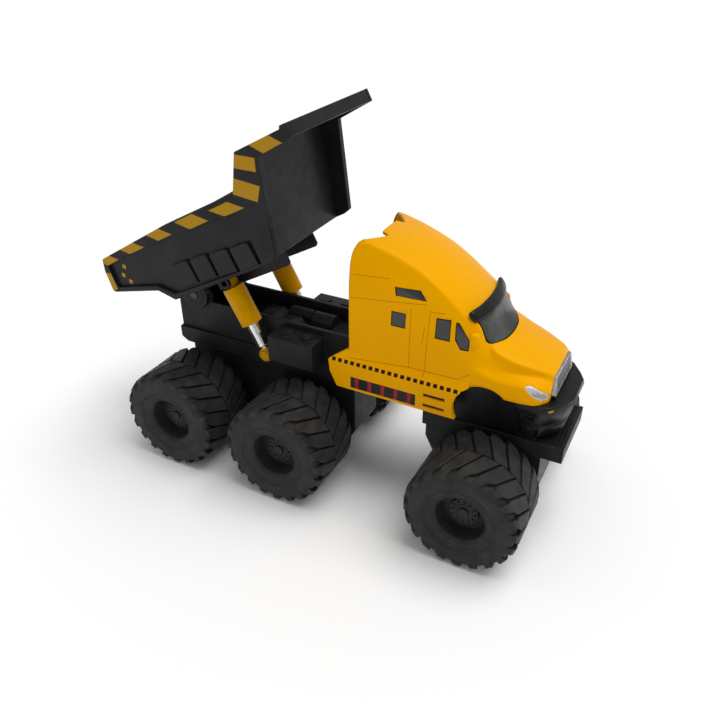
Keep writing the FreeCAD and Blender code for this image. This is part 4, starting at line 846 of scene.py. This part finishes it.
# How far out from the middle, then how far ahead and how high its upper and lower edge are, in mm.
VISOR = [(0.0, 47.9, 69.0, 50.6, 66.2), (4.0, 47.7, 69.0, 50.4, 66.2), (8.0, 47.2, 68.9, 49.6, 66.2),
         (10.5, 46.6, 68.9, 48.9, 66.2), (12.0, 46.3, 68.8, 48.3, 66.2), (12.9, 46.1, 68.6, 47.8, 66.3)]
VISOR_THICK = 0.75
VISOR_FULLNESS = 0.7
TIP_START, TIP_LENGTH = 12.1, 0.8
TIP_BREADTH, TIP_THICK = 0.35, 0.3
AROUND = 20
STATIONS = 40
work = bmesh.new()
bmesh.ops.create_grid(work, x_segments=AROUND, y_segments=STATIONS, size=1.0)
for vert in work.verts:
    turn = (vert.co.x + 1) / 2 * math.tau
    out = abs(vert.co.y) * VISOR[-1][0]
    levels = [eased([(row[0], row[i]) for row in VISOR], out) for i in range(1, 5)]
    high_x, high_z, low_x, low_z = levels
    taper = math.sqrt(max(0.0, 1 - max(0.0, (out - TIP_START) / TIP_LENGTH) ** 2))
    centre = Vector((high_x + low_x, high_z + low_z)) / 2
    run = Vector((low_x - high_x, low_z - high_z)) / 2
    flat = Vector((-run.y, run.x)).normalized()
    along = math.copysign(abs(math.cos(turn)) ** VISOR_FULLNESS, math.cos(turn))
    depth = math.copysign(abs(math.sin(turn)) ** VISOR_FULLNESS, math.sin(turn))
    breadth = TIP_BREADTH + (1 - TIP_BREADTH) * taper
    thick = VISOR_THICK * (TIP_THICK + (1 - TIP_THICK) * taper)
    spot = centre + run * along * breadth + flat * depth * thick
    vert.co = Vector((spot.x, math.copysign(out, vert.co.y), spot.y)) * MM
bmesh.ops.remove_doubles(work, verts=work.verts, dist=WELD)
bmesh.ops.holes_fill(work, edges=[edge for edge in work.edges if edge.is_boundary], sides=AROUND + 1)
bmesh.ops.recalc_face_normals(work, faces=work.faces)
finished(work, "visor_band", "truck", ["cab_visor"], [visor_plastic], sharp=60)


# Grille and headlights: silver-sprayed plastic that leans on the nose, its slots painted in as
# dark stripes of shade, and two almond lenses with a bright rim, set in the skin.

SLOTS_Y, SLOTS_Z = (-0.1 * MM, 6.9 * MM), (48.2 * MM, 52.2 * MM)
SLOT_PITCH, SLOT_SHARE = 0.85 * MM, 0.45
silver = moulded("silver_trim", srgb(150, 150, 152), srgb(185, 185, 186), roughness=0.34, patch=3 * MM)
silver.node_tree.nodes["Principled BSDF"].inputs["Metallic"].default_value = 0.7
tree = silver.node_tree
# The slots are painted in as darker stripes: painted shade in the recesses of the silver grille.
grille_slot_shade = both(tree, along_axis(tree, "Y", *SLOTS_Y, mirrored=True), along_axis(tree, "Z", *SLOTS_Z))
overlay(silver, both(tree, grille_slot_shade, dashes(tree, 0.0, SLOT_PITCH, SLOT_SHARE, "Y")), srgb(62, 62, 64))
rounded("grille", "truck", silver, 0.12 * MM)
lens = moulded("lamp_lens", srgb(150, 148, 146), srgb(216, 215, 212), roughness=0.16, patch=2.5 * MM,
               grain=0.6 * MM, depth=0.01 * MM, shine=0.6)
lens_rim = moulded("lamp_rim", srgb(212, 210, 206), srgb(230, 228, 225), roughness=0.25, patch=2.5 * MM)
filled("lamp_lenses", "headlights", LAMPS, sink=0.12, rim=0.4,
       materials=[lens, lens_rim])


# Cab base: the black moulding that the cab stands on, with the bumper round the nose and
# an amber marker on each of the bumper's corners.

MARKER_X, MARKER_Z = (70.7 * MM, 71.8 * MM), (44.9 * MM, 45.5 * MM)
base_plastic = moulded("base_plastic", srgb(12, 12, 13), srgb(20, 20, 21), roughness=0.36,
                       depth=0.003 * MM, shine=0.22)
tree = base_plastic.node_tree
marker = both(tree, along_axis(tree, "X", *MARKER_X), along_axis(tree, "Z", *MARKER_Z))
overlay(base_plastic, marker, srgb(190, 130, 6))
rounded("cab_base", "truck", base_plastic, 0.35 * MM)


# Dump bed: one black plastic moulding, satin from handling, with yellow hazard stripes
# printed on its bevelled rims, tail and posts.

BED_TILT = math.radians(28.5)
hinge_low, hinge_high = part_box("hinge_pin")
HINGE = (hinge_low + hinge_high) / 2
ALONG = Vector((math.cos(BED_TILT), 0, math.sin(BED_TILT)))
SQUARE = Vector((-math.sin(BED_TILT), 0, math.cos(BED_TILT)))


def bed_point(along, square):
    """A point of the bed's middle plane, given in mm along the floor and square to it."""
    return HINGE + ALONG * along * MM + SQUARE * square * MM


def printed_patch(tree, corners, soft=0.04):
    """1 inside a four-cornered printed patch seen from the side, 0 outside it."""
    centre = sum(corners, Vector()) / 4
    first = (corners[1] + corners[2] - corners[0] - corners[3]) / 4
    second = (corners[3] + corners[2] - corners[0] - corners[1]) / 4
    area = first.x * second.z - first.z * second.x
    shifted = vector_maths(tree, "SUBTRACT", object_place(tree), centre)
    shares = []
    for dual in (Vector((second.z, 0, -second.x)) / area, Vector((-first.z, 0, first.x)) / area):
        shares.append(maths(tree, "ABSOLUTE", vector_maths(tree, "DOT_PRODUCT", shifted, dual)))
    return rise(tree, either(tree, *shares), 1 + soft, 1 - soft)


def out_from_middle(tree, level, soft=0.1 * MM):
    """1 where a point is further from the truck's middle plane than a level."""
    return rise(tree, maths(tree, "ABSOLUTE", axis_value(tree, "Y")), level - soft, level + soft)


# Each stripe's corners, along the bed's floor and square to it, in mm.
STRIPES = [
    [(33.6, 22.4), (41.6, 22.4), (46.4, 19.0), (39.1, 19.0)],
    [(19.3, 23.6), (27.2, 23.6), (32.3, 19.9), (24.4, 19.9)],
    [(4.9, 24.4), (11.1, 24.4), (16.5, 20.8), (10.1, 20.8)],
    [(-8.6, 23.8), (-1.8, 23.8), (3.2, 20.8), (-4.3, 20.8)],
    [(-20.4, 23.2), (-14.4, 23.2), (-9.2, 20.2), (-16.0, 20.2)],
    [(-19.6, 19.2), (-17.3, 17.6), (-17.7, 12.4), (-20.8, 12.6)],
    [(51.4, 32.8), (57.0, 29.4), (56.2, 25.9), (49.0, 29.6)],
    [(47.6, 27.4), (54.9, 22.2), (51.6, 19.0), (44.8, 23.7)],
    [(57.0, 33.2), (64.4, 33.2), (67.2, 29.6), (61.0, 29.2)],
]
DIAMONDS = [
    [(-12.0, 18.0), (-11.0, 19.0), (-10.0, 18.0), (-11.0, 17.0)],
    [(-14.3, 15.7), (-13.3, 16.7), (-12.3, 15.7), (-13.3, 14.7)],
    [(-12.7, 12.9), (-11.7, 13.9), (-10.7, 12.9), (-11.7, 11.9)],
]
STRIPE_YELLOW = srgb(176, 131, 0)
# How far from the middle plane the print begins.
STRIPES_OUT, DIAMONDS_OUT = 21.62 * MM, 21.3 * MM
bed_plastic = moulded("bed_plastic", srgb(26, 26, 28), srgb(36, 36, 37), roughness=0.36, patch=8 * MM,
                      grain=0.4 * MM, depth=0.012 * MM)
tree = bed_plastic.node_tree
for outlines, level in ((STRIPES, STRIPES_OUT), (DIAMONDS, DIAMONDS_OUT)):
    patches = [printed_patch(tree, [bed_point(*corner) for corner in corners]) for corners in outlines]
    printed = patches[0]
    for patch in patches[1:]:
        printed = either(tree, printed, patch)
    overlay(bed_plastic, both(tree, printed, out_from_middle(tree, level)), STRIPE_YELLOW)

# How far from the middle plane the floor ends, and the sides and the bands on them lie, in mm.
FLOOR_OUT = 21.2
SIDE_IN, SIDE_OUT = 20.6, 21.5
BAND_IN, BAND_OUT = 21.3, 22.7
RIB_OUT = 22.65
BED_EDGE, BAND_EDGE, RIB_EDGE = 0.22, 0.25, 0.3
EAR_EDGE, BRACE_EDGE, RING_EDGE, RAM_LUG_EDGE = 0.25, 0.2, 0.1, 0.15
BED_FOLD = math.radians(25)
LEAN_START, LEAN_SLOPE, LEAN_MOST = 21.0, 0.26, 0.9
# Outlines in the bed's own frame: the whole side, and the bands that stand out from it.
SIDE_OUTLINE = [(-19.6, 11.8), (-1.0, 7.0), (4.0, 2.4), (45.6, 2.4), (48.0, 3.0), (54.0, 18.0), (58.4, 29.2),
                (70.6, 29.7), (70.6, 33.3), (68.8, 33.4), (68.4, 32.7), (52.0, 33.0), (45.2, 23.8),
                (15.0, 24.2), (-18.0, 23.0), (-19.2, 19.2), (-20.4, 12.6)]
POST = [(42.7, 2.4), (45.6, 2.4), (48.0, 3.0), (54.0, 18.0), (58.4, 29.2), (70.8, 29.6), (70.8, 33.4),
        (68.8, 33.5), (68.4, 32.7), (52.0, 33.0), (45.2, 23.8), (43.8, 19.9)]
RIM_BAND = [(-16.6, 20.4), (-8.0, 20.8), (15.0, 20.4), (44.4, 18.8), (45.8, 23.8), (15.0, 24.2),
            (-18.0, 23.0)]
TAIL_BAND = [(-18.0, 23.0), (-19.2, 19.2), (-20.4, 12.6), (-19.6, 11.8), (-17.4, 11.25), (-17.6, 13.6),
             (-16.4, 20.6)]
FOOT_BAND = [(-19.6, 11.8), (-1.0, 7.0), (4.0, 2.4), (43.0, 2.4), (43.0, 3.3), (8.0, 4.0), (4.9, 4.3),
             (-0.6, 8.7), (-17.6, 13.0)]
# Each rib of the side: where it starts and ends along the bed, its top, and its foot at both ends,
# and how far in and down the corners of a rib are from its ends and its top.
RIBS = [(8.5, 16.7, 12.6, 5.2, 4.8), (17.5, 24.9, 12.1, 4.7, 4.3), (25.7, 33.2, 11.3, 4.0, 3.6),
        (34.1, 41.6, 10.6, 3.4, 3.0)]
RIB_REAR = [(0.2, 0.5), (0.9, 0.0)]
RIB_FRONT = [(0.9, 0.2), (0.1, 0.8)]
# The floor, front panel and canopy, as one bent plate.
PLATE = [(-20.3, 12.7), (-19.6, 11.8), (-1.0, 7.0), (4.0, 2.4), (42.6, 2.4), (52.9, 31.1), (69.2, 31.1),
         (69.2, 29.7), (70.7, 29.7), (70.7, 33.4), (68.8, 33.4), (68.4, 32.7), (52.0, 33.0), (50.3, 31.6),
         (41.2, 4.9), (40.2, 4.0), (6.6, 4.0), (5.4, 4.4), (0.6, 8.4), (-0.6, 8.9), (-20.2, 13.7)]
# Under the floor: two long fins, the hinge's ears with their braces and rings, and the rams' lugs.
FIN = [(9.0, -2.2), (39.6, -2.2), (40.4, -1.4), (40.4, 3.2), (9.0, 3.2)]
FIN_Y = (7.6, 8.5)
EAR_R, EAR_TOP = 5.0, 3.4
BRACE = [(-8.6, 1.4), (-4.6, 0.9), (-4.6, 8.4), (-8.4, 9.4)]
EAR_Y = (9.2, 11.1)
RING_R, RING_POINTS, RING_TURN = 3.6, 24, 0.125
RING_Y = (11.0, 11.25)
RAM_LUG = [(17.0, 3.0), (17.0, -0.4), (17.9, -1.2), (19.7, -1.2), (20.6, -0.4), (20.6, 3.0)]
RAM_Y = 12.45
RAM_LUGS_IN = (1.8, -3.0)
RAM_LUG_THICK = 1.2
FOOT_STEPS = 14


def bed_prism(work, corners, low, high, edge=BED_EDGE, lean=False):
    """A plate of the bed: an outline along the bed and square to it, pressed out across the truck."""
    base = [work.verts.new(bed_point(*corner) + Vector((0, low * MM, 0))) for corner in corners]
    first = work.faces.new(base)
    far = parts_made(bmesh.ops.extrude_face_region(work, geom=[first]), bmesh.types.BMVert)
    bmesh.ops.translate(work, vec=(0, (high - low) * MM, 0), verts=far)
    if lean:
        for vert in far:
            above = max(0.0, (vert.co - HINGE).dot(SQUARE) / MM - LEAN_START)
            vert.co.y -= math.copysign(min(LEAN_MOST, above * LEAN_SLOPE) * MM, high)
    faces = list(dict.fromkeys(face for vert in base + far for face in vert.link_faces))
    bmesh.ops.recalc_face_normals(work, faces=faces)
    rims = dict.fromkeys(rim for face in faces for rim in face.edges)
    bevelled(work, [rim for rim in rims if rim.calc_face_angle(0) > BED_FOLD], edge * MM, clamped=True)


def half_round(radius):
    """The lower half of a circle about the hinge."""
    turns = [math.pi + math.pi * number / FOOT_STEPS for number in range(FOOT_STEPS + 1)]
    return [(radius * math.cos(turn), radius * math.sin(turn)) for turn in turns]


work = bmesh.new()
bed_prism(work, PLATE, -FLOOR_OUT, FLOOR_OUT)
ear = [(-EAR_R, EAR_TOP)] + half_round(EAR_R) + [(EAR_R, EAR_TOP)]
ring = half_round(RING_R)
for number in range(1, RING_POINTS + 1):
    ring.append((RING_R * math.cos(number * RING_TURN), RING_R * math.sin(number * RING_TURN)))
for sign in SIDES.values():
    bed_prism(work, SIDE_OUTLINE, sign * SIDE_IN, sign * SIDE_OUT)
    for band in (POST, RIM_BAND, TAIL_BAND, FOOT_BAND):
        bed_prism(work, band, sign * BAND_IN, sign * BAND_OUT, BAND_EDGE, lean=band is not POST)
    for start, end, top, low_start, low_end in RIBS:
        rib = [(start, low_start)] + [(start + inward, top - drop) for inward, drop in RIB_REAR]
        rib += [(end - inward, top - drop) for inward, drop in RIB_FRONT] + [(end, low_end)]
        bed_prism(work, rib, sign * BAND_IN, sign * RIB_OUT, RIB_EDGE)
    bed_prism(work, FIN, sign * FIN_Y[0], sign * FIN_Y[1])
    bed_prism(work, ear, sign * EAR_Y[0], sign * EAR_Y[1], EAR_EDGE)
    bed_prism(work, BRACE, sign * EAR_Y[0], sign * EAR_Y[1], BRACE_EDGE)
    bed_prism(work, ring, sign * RING_Y[0], sign * RING_Y[1], RING_EDGE)
    for inner in RAM_LUGS_IN:
        low, high = sorted((sign * (RAM_Y + inner), sign * (RAM_Y + inner + RAM_LUG_THICK)))
        bed_prism(work, RAM_LUG, low, high, RAM_LUG_EDGE)
level_shading(finished(work, "rock_bed", "bed", ["dump_bed"], [bed_plastic], sharp=48))
hinge_steel = metal("hinge_steel", srgb(52, 52, 52), srgb(70, 70, 70), 0.4)
dress("hinge_pin", hinge_steel)


# Rams: a barrel in yellow enamel hung under the bed, and a chromed rod that slides in
# it, with a yellow eye on a peg of the frame.

ram_yellow = moulded("ram_yellow", srgb(206, 146, 3), srgb(220, 158, 5), roughness=0.34, patch=5 * MM,
                     grain=0.8 * MM, depth=0.006 * MM, shine=0.25)
ram_yellow.node_tree.nodes["Principled BSDF"].inputs["Specular Tint"].default_value = ENAMEL_TINT
chrome = metal("ram_chrome", srgb(205, 205, 205), srgb(225, 225, 225), 0.14)
EYE = Vector((-19.6, 0.0, 38.2)) * MM
# Radius, then distance along the line that each is turned about, in mm.
EYE_OUTLINE = [(0.0, 2.35), (1.5, 2.35), (2.05, 2.1), (2.3, 1.5), (2.3, -1.5), (2.05, -2.1), (1.5, -2.35),
               (0.0, -2.35)]
ROD_LINE = [(0.0, 1.2), (1.4, 1.2), (1.4, 2.6), (2.1, 3.2), (2.1, 13.2), (2.3, 13.4), (2.3, 14.9),
            (2.0, 15.2), (0.0, 15.2)]
TURNED_STEPS = 32
# The rods are painted on their rear side only, from this far behind their middle line.
PAINT_FROM = 0.7 * MM


def past_plane(tree, place, normal, level, soft=0.1 * MM):
    """1 further than a level from a plane, 0 nearer."""
    shifted = vector_maths(tree, "SUBTRACT", object_place(tree), place)
    return rise(tree, vector_maths(tree, "DOT_PRODUCT", shifted, normal), level - soft, level + soft)


overlay(chrome, past_plane(chrome.node_tree, EYE, -ALONG, PAINT_FROM), srgb(226, 158, 4))


def lathed(outline, place, axis):
    """A solid turned about a line from an outline of radius and distance along it, in mm."""
    work = bmesh.new()
    across = axis.orthogonal().normalized()
    ring = [work.verts.new(place + (across * radius + axis * along) * MM) for radius, along in outline]
    edges = [work.edges.new(ends) for ends in zip(ring, ring[1:])]
    bmesh.ops.spin(work, geom=ring + edges, cent=place, axis=axis, angle=math.tau,
                   steps=TURNED_STEPS, use_merge=True)
    bmesh.ops.remove_doubles(work, verts=work.verts, dist=WELD)
    bmesh.ops.recalc_face_normals(work, faces=work.faces)
    return work


for side, sign in SIDES.items():
    rounded("ram_barrel_" + side, "barrel_" + side, ram_yellow, 0.25 * MM)
    spot = EYE + Vector((0, sign * RAM_Y * MM, 0))
    finished(lathed(ROD_LINE, spot, SQUARE), "ram_rod_chromed_" + side, "rod_" + side,
             ["ram_rod_" + side], [chrome])
    finished(lathed(EYE_OUTLINE, spot, Vector((0, 1, 0))), "ram_eye_" + side, "rod_" + side,
             ["ram_rod_" + side], [ram_yellow], sharp=50)
    dress("ram_pin_" + side, steel)


# Studio: a plain white floor and soft light from above, with the camera where the
# photograph was taken.

FLOOR_SIZE = 6.0
PAPER_WHITE = (0.97, 0.97, 0.97, 1)
CAMERA_PLACE = (0.09941, -0.17816, 0.16076)
floor_mesh = bpy.data.meshes.new("studio_floor")
work = bmesh.new()
bmesh.ops.create_grid(work, x_segments=1, y_segments=1, size=FLOOR_SIZE / 2)
work.to_mesh(floor_mesh)
work.free()
floor = bpy.data.objects.new("studio_floor", floor_mesh)
bpy.context.scene.collection.objects.link(floor)
paper = bpy.data.materials.new("studio_paper")
paper.use_nodes = True
paper.node_tree.nodes["Principled BSDF"].inputs["Base Color"].default_value = PAPER_WHITE
paper.node_tree.nodes["Principled BSDF"].inputs["Roughness"].default_value = 0.9
floor_mesh.materials.append(paper)

world = bpy.data.worlds.new("studio_air")
world.use_nodes = True
world.node_tree.nodes["Background"].inputs["Color"].default_value = (1, 1, 1, 1)
world.node_tree.nodes["Background"].inputs["Strength"].default_value = 0.5
bpy.context.scene.world = world


def even_lamp(name, towards, softness, strength):
    """A broad lamp so far away that it lights the whole floor alike."""
    lamp = bpy.data.lights.new(name, "SUN")
    lamp.angle = math.radians(softness)
    lamp.energy = strength
    holder = bpy.data.objects.new(name, lamp)
    holder.rotation_euler = Vector(towards).to_track_quat("Z", "Y").to_euler()
    bpy.context.scene.collection.objects.link(holder)


even_lamp("top_lamp", towards=(0.3, 0.15, 1.0), softness=45, strength=1.9)

camera_data = bpy.data.cameras.new("photo_camera")
camera = bpy.data.objects.new("photo_camera", camera_data)
bpy.context.scene.collection.objects.link(camera)
camera_data.sensor_width = 36.0
camera_data.lens = 36.77
camera_data.clip_start = 0.01
camera_data.clip_end = 20
RIGHT = Vector((0.88843, 0.45900, -0.00188))
UP = Vector((-0.2407, 0.4694, 0.8495))
BACK = Vector((0.39083, -0.75431, 0.52751))
turn = Matrix((RIGHT, UP, BACK)).transposed()
camera.matrix_world = Matrix.Translation(CAMERA_PLACE) @ turn.to_4x4()
bpy.context.scene.camera = camera
bpy.context.scene.view_settings.view_transform = "Standard"

bpy.context.view_layer.update()
